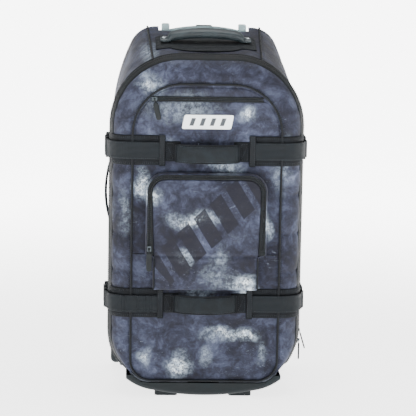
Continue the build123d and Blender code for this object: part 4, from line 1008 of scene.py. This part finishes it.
def pocket():
    """The centre pocket: its walls, its face with the printed bars, its arched zip and its seams."""
    front = FRONT_Y - POCKET["depth"]
    # walls: one strip round the pocket from the lid's face to its front edge
    lower, low, fold = POCKET["lower"], POCKET["low"], POCKET["fold"]
    upper = pocket_path(0.0, fold + 0.002)
    side = line((lower, low + 0.004), (lower, fold - 0.006), 16)
    side += smooth_step((lower, fold - 0.006), upper[0], 6)
    run = [(0.0, low)] + line((0.004, low), (lower - 0.004, low), 22)
    run += arc((lower - 0.004, low + 0.004), 0.004, -90, 0, 4)
    right = run + side
    half = right + upper[:len(upper) // 2 + 1]
    loop = half + [(-x, z) for x, z in half[-2:0:-1]]
    verts, profile = [], []
    for k in range(9):
        t = k / 8
        profile.append((FRONT_Y - 0.0004 + (front - FRONT_Y) * min(1.0, t * 1.06),
                        0.0022 * math.sin(math.pi * min(1, t * 1.05))))
    profile += [(front - 0.0008, -0.0006), (front - 0.0010, -0.0022)]
    pts = np.array(loop)
    tangents = np.roll(pts, -1, axis=0) - np.roll(pts, 1, axis=0)
    tangents /= np.linalg.norm(tangents, axis=1)[:, None]
    outs = np.stack([tangents[:, 1], -tangents[:, 0]], -1)
    for k, (y, off) in enumerate(profile):
        for (x, z), o in zip(pts, outs):
            wob = 0.0011 * rumple((x, y, z), (24, 60, 24), 6) * math.sin(math.pi * min(1, k / 9))
            verts.append((x + o[0] * (off + wob), y, z + o[1] * (off + wob)))
    faces = facing(verts, grid_faces(len(profile), len(loop), closed=True),
                   lambda c: (c[0], 0, c[2] - 0.372))
    make("pocket_walls", verts, faces, ["print_fabric", "lining"], body="lid", slot="print_fabric",
         replaced=["pocket_frame"],
         mods=[("SOLIDIFY", dict(thickness=0.0028, offset=-1, material_offset=1, material_offset_rim=0))])

    # one face of cloth: the pouch below the fold and the flap above it
    zs = list(np.linspace(low + 0.001, fold, 28)) + list(np.linspace(fold, 0.4877, 60))[1:]
    verts = []
    for z in zs:
        w = lower - 0.0006 if z < fold - 0.002 else 0.1136 + 0.0040 * min(1.0, (z - fold) / (0.460 - fold))
        if z > 0.460:
            w = 0.090 + math.sqrt(max(0.0, 0.0277 ** 2 - (z - 0.460) ** 2)) - 0.0001
        for u in np.linspace(-1, 1, 61):
            v = 2 * (z - zs[0]) / (zs[-1] - zs[0]) - 1
            x = u * w
            puff = 0.0085 * (1 - abs(u) ** 3.2) * (1 - abs(v) ** 3.6)
            fade = min(1.0, (1 - abs(u)) * 14 + 0.35)
            crease = -0.0026 * math.exp(-((z - fold + 0.0007) / 0.0030) ** 2) * fade
            soft = 0.0020 * rumple((x, 0, z), (10, 1, 9), 13) + 0.0008 * rumple((x, 0, z), (30, 1, 26), 14)
            tug = 0.0012 * math.exp(-((abs(x) - 0.108) / 0.01) ** 2) * math.sin(z * 150)
            edge = min(1.0, (1 - abs(u)) * 10, (1 - abs(v)) * 10)
            verts.append((x, front - 0.0012 - puff - crease - (soft + tug) * edge, z))
    faces = facing(verts, grid_faces(len(zs), 61), lambda c: AHEAD)
    face = make("pocket_face", verts, faces, ["print_bars", "lining"])
    mod = face.modifiers.new("thickness", "SOLIDIFY")
    mod.thickness, mod.offset, mod.material_offset, mod.material_offset_rim = 0.0026, -1, 1, 0
    settle(face)
    keep_rest(face)
    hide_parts("pocket_flap")
    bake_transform(face)

    # zip: an outer tape on the frame, the coil, and an inner tape beside the flap
    bands = [("pocket_zip_outer_tape",
              [(0.0006, 0.0004), (0.0012, 0.0016), (0.0030, 0.0021), (0.0048, 0.0017), (0.0054, 0.0006)]),
             ("pocket_zip_inner_tape",
              [(0.0068, 0.0006), (0.0074, 0.0017), (0.0094, 0.0021), (0.0110, 0.0016), (0.0119, 0.0002)])]
    for k, (name, sec) in enumerate(bands):
        verts = []
        for inset, lift in sec:
            taper = 0.0042 if inset > 0.0090 else 0.0
            verts += [(x, front - 0.0002 - lift, z) for x, z in pocket_path(inset, taper=taper)]
        n = len(pocket_path(0.001))
        faces = facing(verts, grid_faces(len(sec), n), lambda c: AHEAD)
        make(name, verts, faces, "zip", body="lid", slot="zip", replaced=["pocket_zip"] if k == 0 else (),
             mods=[("SOLIDIFY", dict(thickness=0.0008, offset=-1)), SUB])
    coil = [(x, front - 0.0008, z) for x, z in pocket_path(0.0061)]
    teeth("pocket_zip_coil", coil, AHEAD, "lid", width=0.0030, height=0.0014)
    outer = [(x, front - 0.0024, z) for x, z in pocket_path(0.0030)]
    inner = [(x, front - 0.0024, z) for x, z in pocket_path(0.0085)]
    stitches("pocket_zip_stitches", [(outer, AHEAD), (inner, AHEAD)], "lid", slot="zip")
    # piped seams down the pouch's sides, and a garage over the zip's right end
    for s, name in ((-1, "left"), (1, "right")):
        path = smooth_path([(s * lower, front - 0.0016, low + 0.002), (s * lower, front - 0.0018, 0.285),
                            (s * lower, front - 0.0018, fold - 0.006)], 40)
        swept(f"pocket_{name}_piping", path, circle(0.0017, 10), "piping", up=AHEAD, body="lid",
              slot="black_fabric")
        end = [(s * 0.1235, front - 0.0016, fold + 0.001), (s * 0.1235, front - 0.0022, fold + 0.006),
               (s * 0.1235, front - 0.0018, fold + 0.011)]
        if s > 0:
            strip(f"pocket_zip_{name}_end", smooth_path(end, 8), (1, 0, 0), 0.0118, 0.0012, "zip", n=6,
                  body="lid", slot="zip")
        # the seam that runs from the pocket out to the lid's piping
        seam = smooth_path([(s * 0.1335, FRONT_Y - 0.0006, 0.3205), (s * 0.148, FRONT_Y - 0.0009, 0.3200),
                            (s * 0.1590, FRONT_Y - 0.0006, 0.3210)], 14)
        swept(f"lid_{name}_cross_seam", seam, circle(0.0008, 6), "piping", up=AHEAD, body="lid",
              slot="black_fabric")


def smooth_step(a, b, n):
    """Points that ease from a to b."""
    out = []
    for k in range(n):
        t = k / n
        e = t * t * (3 - 2 * t)
        out.append((a[0] + (b[0] - a[0]) * e, a[1] + (b[1] - a[1]) * t))
    return out


def settle(obj):
    """Applies the modifiers, so that the mesh is final."""
    bpy.context.view_layer.update()
    graph = bpy.context.evaluated_depsgraph_get()
    mesh = bpy.data.meshes.new_from_object(obj.evaluated_get(graph))
    obj.modifiers.clear()
    obj.data = mesh


pocket()


# ---- main zip -------------------------------------------------------------------------------
def main_zip():
    """Each side: a raised binding, the tape it holds, half the coil, and one row of thread."""
    lid_side = [(0.30, -0.0004), (0.29, 0.0014), (0.20, 0.0020), (0.10, 0.0028), (-0.1150, 0.0046),
                (-0.1115, 0.0054), (-0.1080, 0.0048),
                (-0.1050, 0.0018), (-0.0990, 0.0012), (-0.0972, 0.0006)]
    body_side = [(-0.0790, 0.0000), (-0.0794, 0.0020), (-0.0830, 0.0036), (-0.0870, 0.0040),
                 (-0.0895, 0.0018), (-0.0935, 0.0012), (-0.0948, 0.0006)]
    for body, name, node, section, coil_y, thread_y in (
            ("lid", "main_zip_lid_tape", "main_zip_lid_side", lid_side, -0.0971, -0.1115),
            ("bag", "main_zip_body_tape", "main_zip_body_side", body_side, -0.0949, -0.0870)):
        def ring(place, off):
            if body == "lid":
                y, poly = lid_outline(max(0.0, place))
                fall = (1 - math.cos(math.radians(90 * max(0.0, place))))
                poly = arch(HALF - EDGE_R * fall + off, LID_LOW - off, ZIP_TOP - TOP_DROP * fall + off,
                            LOW_R - (LOW_R - FACE_LOW_R) * fall + off, TOP_R - EDGE_R * fall + off)
                y = y if place > 0 else place
            else:
                y, poly = place, body_outline(place, off)
            points = both_halves(poly, y, crossing(poly, 1, 0.062, 15), n=260)
            if body == "lid":
                return points
            # the binding is pressed down where the two sliders run
            return [(x - 0.0018 * math.exp(-((z - 0.142) / 0.055) ** 6) * (x > 0.15), y, z)
                    for x, y, z in points]
        verts, n = [], 0
        for place, off in section:
            line_points = ring(place, off)
            n = len(line_points)
            verts += line_points
        faces = facing(verts, grid_faces(len(section), n), lambda c: (c[0], 0, c[2] - 0.4))
        make(name, verts, faces, "zip", body=body, slot="zip", replaced=[node],
             mods=[("SOLIDIFY", dict(thickness=0.0009, offset=-1)), SUB])
        teeth(name.replace("tape", "coil"), ring(coil_y, 0.0007), arch_normal, body, pitch=0.0030,
              width=0.0024, height=0.0010)
        stitches(name.replace("tape", "stitches"),
                 [(ring(thread_y, 0.0058 if body == "lid" else 0.0042), arch_normal)], body, slot="zip")


def arch_normal(p):
    """The way out from the zip's arch at a point on it."""
    x, z = float(p[0]), float(p[2])
    cx = math.copysign(max(0.0, min(abs(x), 0.058)), x)
    cz = min(max(z, 0.132), CROWN_Z)
    v = np.array([x - cx if z > CROWN_Z else x, 0.0, z - cz])
    if z < 0.132:
        v = np.array([x - math.copysign(0.096, x), 0.0, z - 0.132])
    elif z <= CROWN_Z:
        v = np.array([x, 0.0, 0.0])
    return v / np.linalg.norm(v)


main_zip()


# ---- bands, straps and buckles --------------------------------------------------------------
def round_path(off, x_inner, y_end, side):
    """From x_inner on the lid's face round its front corner and back along its side, in plan."""
    points = line((x_inner, FRONT_Y - off), (HALF - EDGE_R, FRONT_Y - off), 10)
    points += arc((HALF - EDGE_R, FRONT_Y + EDGE_R), EDGE_R + off, -90, 0, 16)
    points += line((HALF + off, FRONT_Y + EDGE_R), (HALF + off, y_end), 6) + [(HALF + off, y_end)]
    return [(side * x, y) for x, y in points]


def corner_normal(side):
    """Gives the way out of the lid at a point on its side or its rounded front corner."""
    return lambda p: (side * max(0.0, abs(p[0]) - HALF + EDGE_R), min(0.0, p[1] - FRONT_Y - EDGE_R), 0)


def strap_set(row, z, name, side):
    """One buckled strap: its band, front strap, binding, handle tab and rear strap."""
    tag = f"{row}_{name}"

    def stands_for(node):
        return [node] if tag == "upper_left" else ()

    path = [(x, y, z) for x, y in round_path(0.0013, BAND_X - 0.001, ZIP_Y - 0.0065, side)]
    band = strip(f"{tag}_band", path, UP, BAND_H, 0.0017, "black_fabric", n=22, slot="black_fabric",
                 replaced=stands_for("strap_bands"))
    push(band, lambda p, n: 0.0007 * rumple(p, (24, 24, 40), 15 + side) + 0.0005 * math.sin(p.z * 260))
    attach(band, "lid")
    edges = []
    for dz in (-0.0290, 0.0290, -0.0262, 0.0262):
        out = [(x, y, z + dz) for x, y in round_path(0.0026, BAND_X + 0.014, ZIP_Y - 0.010, side)]
        edges.append((out, corner_normal(side)))
    stitches(f"{tag}_band_stitches", edges, "lid", slot="black_fabric")

    outside = HALF + 0.0032 + 0.005
    plan = round_path(STRAP_LIFT + 0.0009, BAND_X + 0.010, -0.118, side)
    loop = [(0.0005, -0.1080), (0.0042, -0.1010), (0.0056, -0.0955), (0.0030, -0.0916), (0.0, -0.0914),
            (-0.0036, -0.0925), (-0.0048, -0.0975), (-0.0036, -0.1060), (-0.0030, -0.1150)]
    tail = [(side * (outside + dx), y) for dx, y in loop]
    points = [(x, y, z) for x, y in plan[:10:3] + plan[10:] + tail]
    if tag == "lower_left":
        points = [(x, y, z - 0.0015) for x, y, z in points]
    web = strip(f"{tag}_strap", smooth_path(points, 110), UP, STRAP_W, 0.0017, "webbing", n=12,
                slot="webbing", replaced=stands_for("front_straps"))

    def ripple(p, n):
        out = 0.0006 * rumple(p, (30, 30, 16), 18 + side)
        if tag == "lower_left" and p.y < -0.12:
            for x0 in (0.118, 0.131, 0.146, 0.178):
                out += 0.0016 * math.exp(-((abs(p.x) - x0) / 0.0028) ** 2)
        return out
    push(web, ripple)
    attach(web, "lid")
    rows = []
    for dz in (-0.0165, 0.0165):
        out = [(x, y, z + dz) for x, y in round_path(STRAP_LIFT + 0.0020, BAND_X + 0.016, -0.116, side)]
        rows.append((out, corner_normal(side)))
    stitches(f"{tag}_strap_stitches", rows, "lid")

    # upright binding over the strap's end, with a rolled edge each side
    zs = np.linspace(z - BAND_H / 2 - 0.0005, z + BAND_H / 2 + 0.0005, 26)
    bind = [(side * (BAND_X + 0.006), FRONT_Y - 0.0075, v) for v in zs]
    b = strip(f"{tag}_binding", bind, (1, 0, 0), 0.0125, 0.0022, "webbing_up", n=8, crown=0.0009,
              slot="webbing", replaced=stands_for("strap_bindings"))
    push(b, lambda p, n: 0.0004 * rumple(p, (60, 60, 60), 19))
    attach(b, "lid")
    # its two edges turn down to the band
    for dx, part in ((-0.0056, "in"), (0.0056, "out")):
        fold = [(side * (BAND_X + 0.006 + dx), FRONT_Y - 0.0045, v) for v in zs]
        strip(f"{tag}_binding_{part}", fold, (0, 1, 0), 0.0062, 0.0014, "webbing_up", n=3, body="lid",
              slot="webbing")
    rows = [([(side * (BAND_X + 0.006 + dx), FRONT_Y - 0.0095, v) for v in zs[1:-1]], AHEAD)
            for dx in (-0.0040, 0.0040)]
    stitches(f"{tag}_binding_stitches", rows, "lid")
    # flat tab that the handle is sewn to
    tab_z = z if row == "lower" else z - 0.002
    tab = [(side * x, FRONT_Y - 0.0013, tab_z) for x in np.linspace(0.058, BAND_X + 0.001, 14)]
    strip(f"{tag}_handle_tab", tab, UP, 0.044, 0.0016, "black_fabric", n=8, body="lid", slot="webbing")
    near, far, high = 0.0740, 0.0880, 0.017
    box = [(near, -high), (far, -high), (far, high), (near, high), (near, -high), (far, high)]
    runs = [[(side * x, FRONT_Y - 0.0023, tab_z + d) for x, d in box[k:k + 2]] for k in range(5)]
    stitches(f"{tag}_tab_stitches", [(run, AHEAD) for run in runs], "lid")

    # rear strap: through the socket's slot and back along the side
    rear = [(0.2097, 0.157), (0.2099, 0.120), (0.2100, 0.060), (0.2100, 0.0), (0.2101, -0.030),
            (0.2099, -0.044), (0.2120, -0.0492), (0.2165, -0.0496), (0.2218, -0.0485), (0.2227, -0.0445),
            (0.2222, -0.0390), (0.2160, -0.0330), (0.2118, -0.0240), (0.2116, -0.0100), (0.2116, 0.006)]
    rp = smooth_path([(side * x, y, z) for x, y in rear], 110)
    r = strip(f"{tag}_rear_strap", rp, UP, STRAP_W, 0.0016, "webbing", n=12, slot="webbing",
              replaced=stands_for("rear_straps"))
    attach(r, "bag")
    bars = [(0.2126, 0.0005), (0.2126, 0.0050), (0.2107, 0.140), (0.2107, 0.152)]
    stitches(f"{tag}_rear_tacks", [([(side * x, y, z - 0.016), (side * x, y, z + 0.016)], (side, 0, 0))
                                   for x, y in bars], "bag")


def straps():
    for z, row in ((UPPER_Z, "upper"), (LOWER_Z, "lower")):
        for side, name in ((-1, "left"), (1, "right")):
            strap_set(row, z, name, side)


straps()


# ---- handles --------------------------------------------------------------------------------
def inflate(obj, pressure=4.0, voxel=0.004, cap=0.004, pin=None):
    """Swells a closed pad by cloth simulation, each point held to cap, then smooths it."""
    scene = bpy.context.scene
    remesh = obj.modifiers.new("remesh", "REMESH")
    remesh.mode, remesh.voxel_size = "VOXEL", voxel
    settle(obj)
    rest = np.array([v.co[:] for v in obj.data.vertices])
    cloth = obj.modifiers.new("cloth", "CLOTH")
    cloth.settings.use_pressure = True
    cloth.settings.uniform_pressure_force = pressure
    cloth.settings.effector_weights.gravity = 0
    cloth.settings.quality = 6
    cloth.point_cache.frame_start, cloth.point_cache.frame_end = 1, 20
    if pin:
        group = obj.vertex_groups.new(name="pin")
        group.add([i for i, p in enumerate(rest) if pin(p)], 1.0, "REPLACE")
        cloth.settings.vertex_group_mass = "pin"
    for frame_number in range(1, 21):
        scene.frame_set(frame_number)
    graph = bpy.context.evaluated_depsgraph_get()
    swollen = np.array([v.co[:] for v in obj.evaluated_get(graph).data.vertices])
    obj.modifiers.clear()
    scene.frame_set(1)
    move = swollen - rest
    size = np.linalg.norm(move, axis=1)
    move *= np.minimum(1.0, cap / np.maximum(size, 1e-9))[:, None]
    for v, p in zip(obj.data.vertices, rest + move):
        v.co = p
    obj.data.polygons.foreach_set("use_smooth", [True] * len(obj.data.polygons))
    obj.data.update()
    mod = obj.modifiers.new("subsurf", "SUBSURF")
    mod.levels = mod.render_levels = 1
    settle(obj)


def pad_section(width, thick, n=28):
    """A flattened round section, fuller in its middle than at its edges."""
    out = []
    for k in range(n):
        t = 2 * math.pi * k / n
        c, s = math.cos(t), math.sin(t)
        out.append((width / 2 * math.copysign(abs(c) ** 0.55, c),
                    thick / 2 * math.copysign(abs(s) ** 0.8, s)))
    return out


def front_handles():
    """The two padded handles on the lid, each with welts, stitching and end caps."""
    bow_r = (0.070 ** 2 + 0.024 ** 2) / (2 * 0.024)
    for z, row in ((UPPER_Z - 0.005, "upper"), (LOWER_Z, "lower")):
        def out_at(x):
            return 0.036 - bow_r + math.sqrt(bow_r ** 2 - x * x) - 0.0052
        path = [(x, FRONT_Y - out_at(x), z) for x in np.linspace(-0.0695, 0.0695, 48)]
        grip = swept(f"{row}_front_handle", path, pad_section(0.0405, 0.0078), "handle_fabric", up=UP,
                     scale=lambda t: (1.0 - 0.03 * abs(2 * t - 1) ** 6, 1.0 - 0.25 * abs(2 * t - 1) ** 4),
                     slot="webbing", replaced=["front_handle_grips"] if row == "upper" else ())
        inflate(grip, 4.0, 0.0032, 0.0018, pin=lambda p: abs(p[0]) > 0.066)
        push(grip, lambda p, n: 0.0006 * rumple(p, (36, 36, 40), 23 if row == "upper" else 24)
             - 0.0009 * math.exp(-((abs(p.x) - 0.0615) / 0.0016) ** 2))
        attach(grip, "lid")
        edges = []
        for dz in (-0.0195, 0.0195):
            rim = [(x, FRONT_Y - out_at(x) - 0.0002, z + dz * (1 - 0.03 * abs(x / 0.07) ** 6))
                   for x in np.linspace(-0.068, 0.068, 50)]
            swept(f"{row}_handle_welt_{'low' if dz < 0 else 'high'}", rim, circle(0.0013, 8), "piping",
                  up=UP, body="lid", slot="webbing")
            edges.append(([(x, FRONT_Y - out_at(x) - 0.0046, z + dz * 0.84)
                           for x in np.linspace(-0.060, 0.060, 50)], AHEAD))
        stitches(f"{row}_handle_stitches", edges, "lid")
        # each end is closed by a cap
        for side, name in ((-1, "left"), (1, "right")):
            cap = [(side * 0.0690, FRONT_Y - 0.0098, z + d) for d in np.linspace(-0.0185, 0.0185, 12)]
            swept(f"{row}_handle_{name}_cap", cap, pad_section(0.0092, 0.0030, 16), "black_fabric",
                  up=(0, 1, 0), body="lid", slot="webbing")


def side_handle():
    """The padded handle on the left side and the webbing tab on the right."""
    z0, y0 = 0.440, -0.012
    bow_r = (0.066 ** 2 + 0.0095 ** 2) / (2 * 0.0095)

    def out_at(d):
        return 0.015 - bow_r + math.sqrt(bow_r ** 2 - d * d) - 0.0029
    path = [(-HALF - out_at(d), y0, z0 + d) for d in np.linspace(-0.066, 0.066, 44)]
    grip = swept("side_handle_grip", path, pad_section(0.031, 0.0058), "handle_fabric", up=(0, 1, 0),
                 scale=lambda t: (1.0, 1.0 - 0.2 * abs(2 * t - 1) ** 4), slot="webbing",
                 replaced=["side_handle"])
    push(grip, lambda p, n: 0.0004 * rumple(p, (36, 36, 40), 27))
    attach(grip, "bag")
    for s, name in ((-1, "low"), (1, "high")):
        end = smooth_path([(-HALF - 0.0040, y0, z0 + s * 0.061), (-HALF - 0.0024, y0, z0 + s * 0.068),
                           (-HALF - 0.0018, y0, z0 + s * 0.0835)], 14)
        strip(f"side_handle_{name}_end", end, (0, 1, 0), 0.035, 0.0018, "webbing_up", n=8, body="bag",
              slot="webbing")
        box = [(-0.012, 0.071), (0.012, 0.071), (0.012, 0.081), (-0.012, 0.081), (-0.012, 0.071)]
        stitches(f"side_handle_{name}_stitches",
                 [([(-HALF - 0.0030, y0 + a, z0 + s * b), (-HALF - 0.0030, y0 + c, z0 + s * d)], (-1, 0, 0))
                  for (a, b), (c, d) in zip(box, box[1:])], "bag")
    tab = smooth_path([(HALF + 0.0010, -0.028, TAB_Z), (HALF + 0.0034, -0.018, TAB_Z),
                       (HALF + 0.0046, -0.008, TAB_Z), (HALF + 0.0026, 0.0, TAB_Z)], 18)
    strip("right_tab_outer", tab, UP, 0.041, 0.0018, "webbing", n=8, crown=0.0004, body="bag",
          slot="webbing", replaced=["right_pull_tab"])
    stitches("right_tab_stitches",
             [([(HALF + 0.0044, -0.023, 0.341), (HALF + 0.0044, -0.023, 0.373)], (1, 0, 0)),
                                    ([(HALF + 0.0050, -0.019, 0.341), (HALF + 0.0050, -0.019, 0.373)],
                                     (1, 0, 0))], "bag")


def top_handle_patch_with_shadow_lobe():
    """The webbing patch sewn on the top panel, partly real webbing, with a lobe towards the front that is
    painted shadow: dark webbing laid where the handle's shade falls.
    """
    ys = list(np.linspace(-0.0575, -0.0305, 12)) + list(np.linspace(-0.030, 0.070, 36))
    verts = []
    cols = 49
    for y in ys:
        poly = body_outline(y)
        peak = peak_of(poly)
        # the front lobe (y below -0.030) is painted shadow: dark webbing where the handle's shade falls
        if y < -0.030:
            w = 0.078 * math.sqrt(max(0.02, 1 - ((y + 0.030) / 0.028) ** 2))
        else:
            w = min(0.112, 0.080 + 0.032 * min(1.0, (y + 0.030) / 0.006) ** 0.5)
        tail = poly[peak:]
        order = np.argsort(tail[:, 0])
        for u in np.linspace(-1, 1, cols):
            x = u * w
            z = float(np.interp(abs(x), tail[order, 0], tail[order, 1]))
            hollow = 0.0006 * math.exp(-((y + 0.035) / 0.015) ** 2) * (1 - u * u)
            verts.append((x, y, z + 0.0020 - hollow))
    faces = facing(verts, grid_faces(len(ys), cols), lambda c: (0, 0, 1))
    make("top_handle_patch_with_shadow_lobe", verts, faces, "webbing", body="bag", slot="webbing",
         replaced=["top_handle_base"], mods=[("SOLIDIFY", dict(thickness=0.0018, offset=-1))])
    rows = []
    for y in (-0.027, 0.067):
        poly = body_outline(y)
        peak = peak_of(poly)
        tail = poly[peak:]
        order = np.argsort(tail[:, 0])
        rows.append(([(x, y, float(np.interp(abs(x), tail[order, 0], tail[order, 1])) + 0.0022)
                      for x in np.linspace(-0.107, 0.107, 60)], (0, 0, 1)))
    stitches("top_patch_stitches", rows, "bag")


def top_handle():
    """One moulded rubber bar, thick in the hand and flat where it is riveted down."""
    y0 = 0.020
    tilt = math.atan2(REAR_TOP - ZIP_TOP, BACK_Y - ZIP_Y)
    base = np.array([0, y0, ZIP_TOP + (REAR_TOP - ZIP_TOP) * (y0 - ZIP_Y) / (BACK_Y - ZIP_Y) + 0.0004])
    out, along = np.array([0, -math.sin(tilt), math.cos(tilt)]), np.array([0, math.cos(tilt),
            math.sin(tilt)])
    rise = [(-0.1015, 0.0066), (-0.0920, 0.0066), (-0.0830, 0.0078), (-0.0755, 0.0135), (-0.0640, 0.0170),
            (-0.0330, 0.0208), (0.0, 0.0222)]
    rise += [(-x, h) for x, h in rise[-2::-1]]
    path = smooth_path([base + np.array([x, 0, 0]) + out * h for x, h in rise], 90)
    low_end = 0.0033 / 0.0098

    def size(t):
        x = abs(2 * t - 1)
        full = 1 / (1 + math.exp((x - 0.80) * 34))
        return (0.94 + 0.06 * full + 0.05 * math.exp(-(x / 0.5) ** 2), low_end + (1 - low_end) * full)
    bar = swept("top_handle_bar", path, pad_section(0.0335, 0.0196, 32), "handle_rubber", up=tuple(along),
                scale=size, slot="handle_rubber", replaced=["top_handle_grip"])

    def ribs(p, n):
        under = abs(p.x) < 0.046 and n.z < -0.2
        return -0.0006 * max(0.0, math.cos(p.x * 2 * math.pi / 0.008)) ** 8 if under else 0.0

    push(bar, ribs)
    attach(bar, "bag")


front_handles()
side_handle()
top_handle_patch_with_shadow_lobe()
top_handle()


# ---- pulls of the two pocket zips -----------------------------------------------------------
def pocket_pull(name, node, pin, lean, length, width):
    """A moulded pull: a barrel round the slider's pin, a neck, and a ribbed tab."""
    down = np.array([math.sin(math.radians(lean)), 0, -math.cos(math.radians(lean))])
    pin = np.array(pin)
    swept(f"{name}_barrel", [pin + (x, 0, 0) for x in (-0.0023, 0.0, 0.0023)], circle(0.0017, 14),
          "pull_rubber", up=AHEAD, body=node, slot="pull_rubber", replaced=[node])
    shape = [(0.0010, 3.6, 1.5), (0.0075, 3.6, 1.5), (0.0092, 0.7 * width, 2.6), (0.0125, 0.95 * width, 3.0),
             (0.020, width, 3.0)]
    shape += [(length - 0.006, width, 3.0), (length - 0.002, 0.86 * width, 2.8), (length, 0.45 * width, 2.0)]
    runs = np.linspace(0, 1, 60)
    path = [pin + down * (shape[0][0] + (length - shape[0][0]) * t) for t in runs]

    def size(t):
        d = shape[0][0] + (length - shape[0][0]) * t
        rib = 1.0 + (0.16 * math.cos(d * 2 * math.pi / 0.0032) if 0.016 < d < length - 0.008 else 0.0)
        return (np.interp(d, [q[0] for q in shape], [q[1] for q in shape]) / 10,
                np.interp(d, [q[0] for q in shape], [q[2] for q in shape]) / 3 * rib)
    swept(f"{name}_tab", path, pad_section(0.010, 0.003, 20), "pull_rubber", up=(1, 0, 0), scale=size,
          body=node, slot="pull_rubber")


pocket_pull("upper_pull", "upper_pocket_pull", (-0.116, FRONT_Y - 0.0079, UPPER_ZIP_Z), 13, 0.0464, 11.5)
pocket_pull("pocket_zip_pull", "pocket_pull", (-0.1238, FRONT_Y - 0.0316, 0.336), 0, 0.0484, 12.0)


# ---- the button's spring --------------------------------------------------------------------
def spring():
    """The button's spring: a coil of steel wire of fixed length."""
    low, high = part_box("button_spring")
    cx, cy = (low.x + high.x) / 2, (low.y + high.y) / 2
    turns, r = 4.5, 0.0026
    rise = (high.z - low.z) - 0.0006
    path = [(cx + r * math.cos(2 * math.pi * turns * t), cy + r * math.sin(2 * math.pi * turns * t),
             low.z + 0.0003 + rise * t)
            for t in np.linspace(0, 1, 150)]
    coil = swept("spring_coil", path, circle(0.0003, 8), "steel", up=UP, slot="steel",
                 replaced=["button_spring"])
    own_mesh(coil)
    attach(coil, "trolley")


spring()


# ---- CAD pieces that stay: finish and softened edges ----------------------------------------
FINISHES = {
    "base_plastic": ("base_guard", "front_feet", "left_wheel_housing", "right_wheel_housing", "handle_bezel",
                     "tube_bracket", "skid_rails", "tube_glides"),
    "buckle_plastic": ("buckle_sockets", "buckle_plugs"),
    "handle_rubber": ("release_button",),
    "grip_silver": ("trolley_grip",),
    "tube_alloy": ("outer_tubes", "inner_tubes"),
    "black_fabric": ("frame_hoop",),
    "steel": ("base_screws", "top_handle_rivets", "wheel_axles", "release_rods", "left_bearings",
              "right_bearings"),
    "tyre": ("left_tyre", "right_tyre"),
    "hub_plastic": ("left_hub", "right_hub"),
    "pull_rubber": ("main_upper_pull", "main_lower_pull"),
    "zip_metal": ("upper_pocket_slider", "pocket_slider", "main_upper_slider", "main_lower_slider"),
}
BEVELS = {"base_guard": 0.0006, "buckle_sockets": 0.0008, "buckle_plugs": 0.0006, "trolley_grip": 0.0012,
          "handle_bezel": 0.0010, "skid_rails": 0.0012, "front_feet": 0.0012, "top_handle_rivets": 0.0006,
          "main_upper_pull": 0.0008, "main_lower_pull": 0.0008, "upper_pocket_slider": 0.0003,
          "pocket_slider": 0.0003, "main_upper_slider": 0.0003, "main_lower_slider": 0.0003,
          "tube_bracket": 0.0010, "release_button": 0.0005}
for finish, names in FINISHES.items():
    for name in names:
        node = NODES[name]
        for k in range(max(1, len(node.material_slots))):
            if node.material_slots:
                node.material_slots[k].material = MATERIALS[finish]
            else:
                node.data.materials.append(MATERIALS[finish])
        if name in BEVELS:
            mod = node.modifiers.new("soft_edges", "BEVEL")
            mod.width, mod.segments, mod.limit_method = BEVELS[name], 3, "ANGLE"
            mod.angle_limit, mod.harden_normals = math.radians(38), True


# ---- camera, floor and light ----------------------------------------------------------------
def studio():
    """A wide pale floor, an even sky and three soft lamps."""
    floor = make("floor", [(-30, -30, 0), (30, -30, 0), (30, 30, 0), (-30, 30, 0)], [(0, 1, 2, 3)], "floor",
                 smooth=False)
    world = bpy.data.worlds.new("studio")
    bpy.context.scene.world = world
    world.use_nodes = True
    world.node_tree.nodes["Background"].inputs["Color"].default_value = (1, 1, 1, 1)
    world.node_tree.nodes["Background"].inputs["Strength"].default_value = WORLD_LIGHT
    for name, place, aim, size, power in LIGHTS:
        lamp = bpy.data.lights.new(name, "AREA")
        lamp.shape, lamp.size, lamp.energy = "DISK", size, power
        obj = bpy.data.objects.new(name, lamp)
        bpy.context.scene.collection.objects.link(obj)
        obj.location = place
        obj.rotation_euler = (Vector(aim) - Vector(place)).to_track_quat("-Z", "Y").to_euler()


def camera():
    """Set 4.5 m off, a little to the bag's left and 9 degrees above level, with a 1 degree roll."""
    distance, up, side, roll = 4.5, math.radians(9), math.radians(-2.5), math.radians(1)
    target = Vector((0.004, 0, 0.390))
    back = Vector((math.sin(side) * math.cos(up), -math.cos(side) * math.cos(up), math.sin(up)))
    right = (-back).cross(Vector((0, 0, 1))).normalized()
    top = right.cross(-back)
    right_r = right * math.cos(roll) + top * math.sin(roll)
    top_r = -right * math.sin(roll) + top * math.cos(roll)
    data = bpy.data.cameras.new("camera")
    data.sensor_width, data.lens = 36.0, 172.4
    data.shift_x, data.shift_y = 3 / 416, 4 / 416
    data.clip_end = 60
    obj = bpy.data.objects.new("camera", data)
    bpy.context.scene.collection.objects.link(obj)
    place = target + back * distance
    obj.matrix_world = Matrix.Translation(place) @ Matrix((right_r, top_r, back)).transposed().to_4x4()
    bpy.context.scene.camera = obj


WORLD_LIGHT = 0.42
LIGHTS = [
    ("key", (-2.0, -3.4, 2.6), (0, 0, 0.4), 2.0, 44),
    ("fill", (2.8, -2.6, 1.6), (0, 0, 0.4), 2.0, 20),
    ("top", (0.0, 0.3, 3.4), (0, 0, 0.0), 2.6, 105),
]


def floor_material():
    """A pale floor that brightens into a lit backdrop away from the bag."""
    m = Mat("floor")
    away = m.vec("LENGTH", m.vec("MULTIPLY", m.co, (1.0, 1.0, 0.0)), (0, 0, 0))
    glow = m.step(away, 0.5, 3.0, 0.0, 1.0)
    m.tree.links.new(m.ramp(glow, [(0.0, (0.42, 0.42, 0.42, 1)), (1.0, (1, 1, 1, 1))]),
                     m.bsdf.inputs["Emission Color"])
    shade = m.ramp(m.noise(3.0, 2.0, 0.5), [(0.0, srgb(250, 250, 250)), (1.0, srgb(254, 254, 254))])
    return m.finish(shade, 0.9, Specular_IOR_Level=0.1, Emission_Strength=7.0)


MATERIALS["floor"] = floor_material()
camera()
studio()
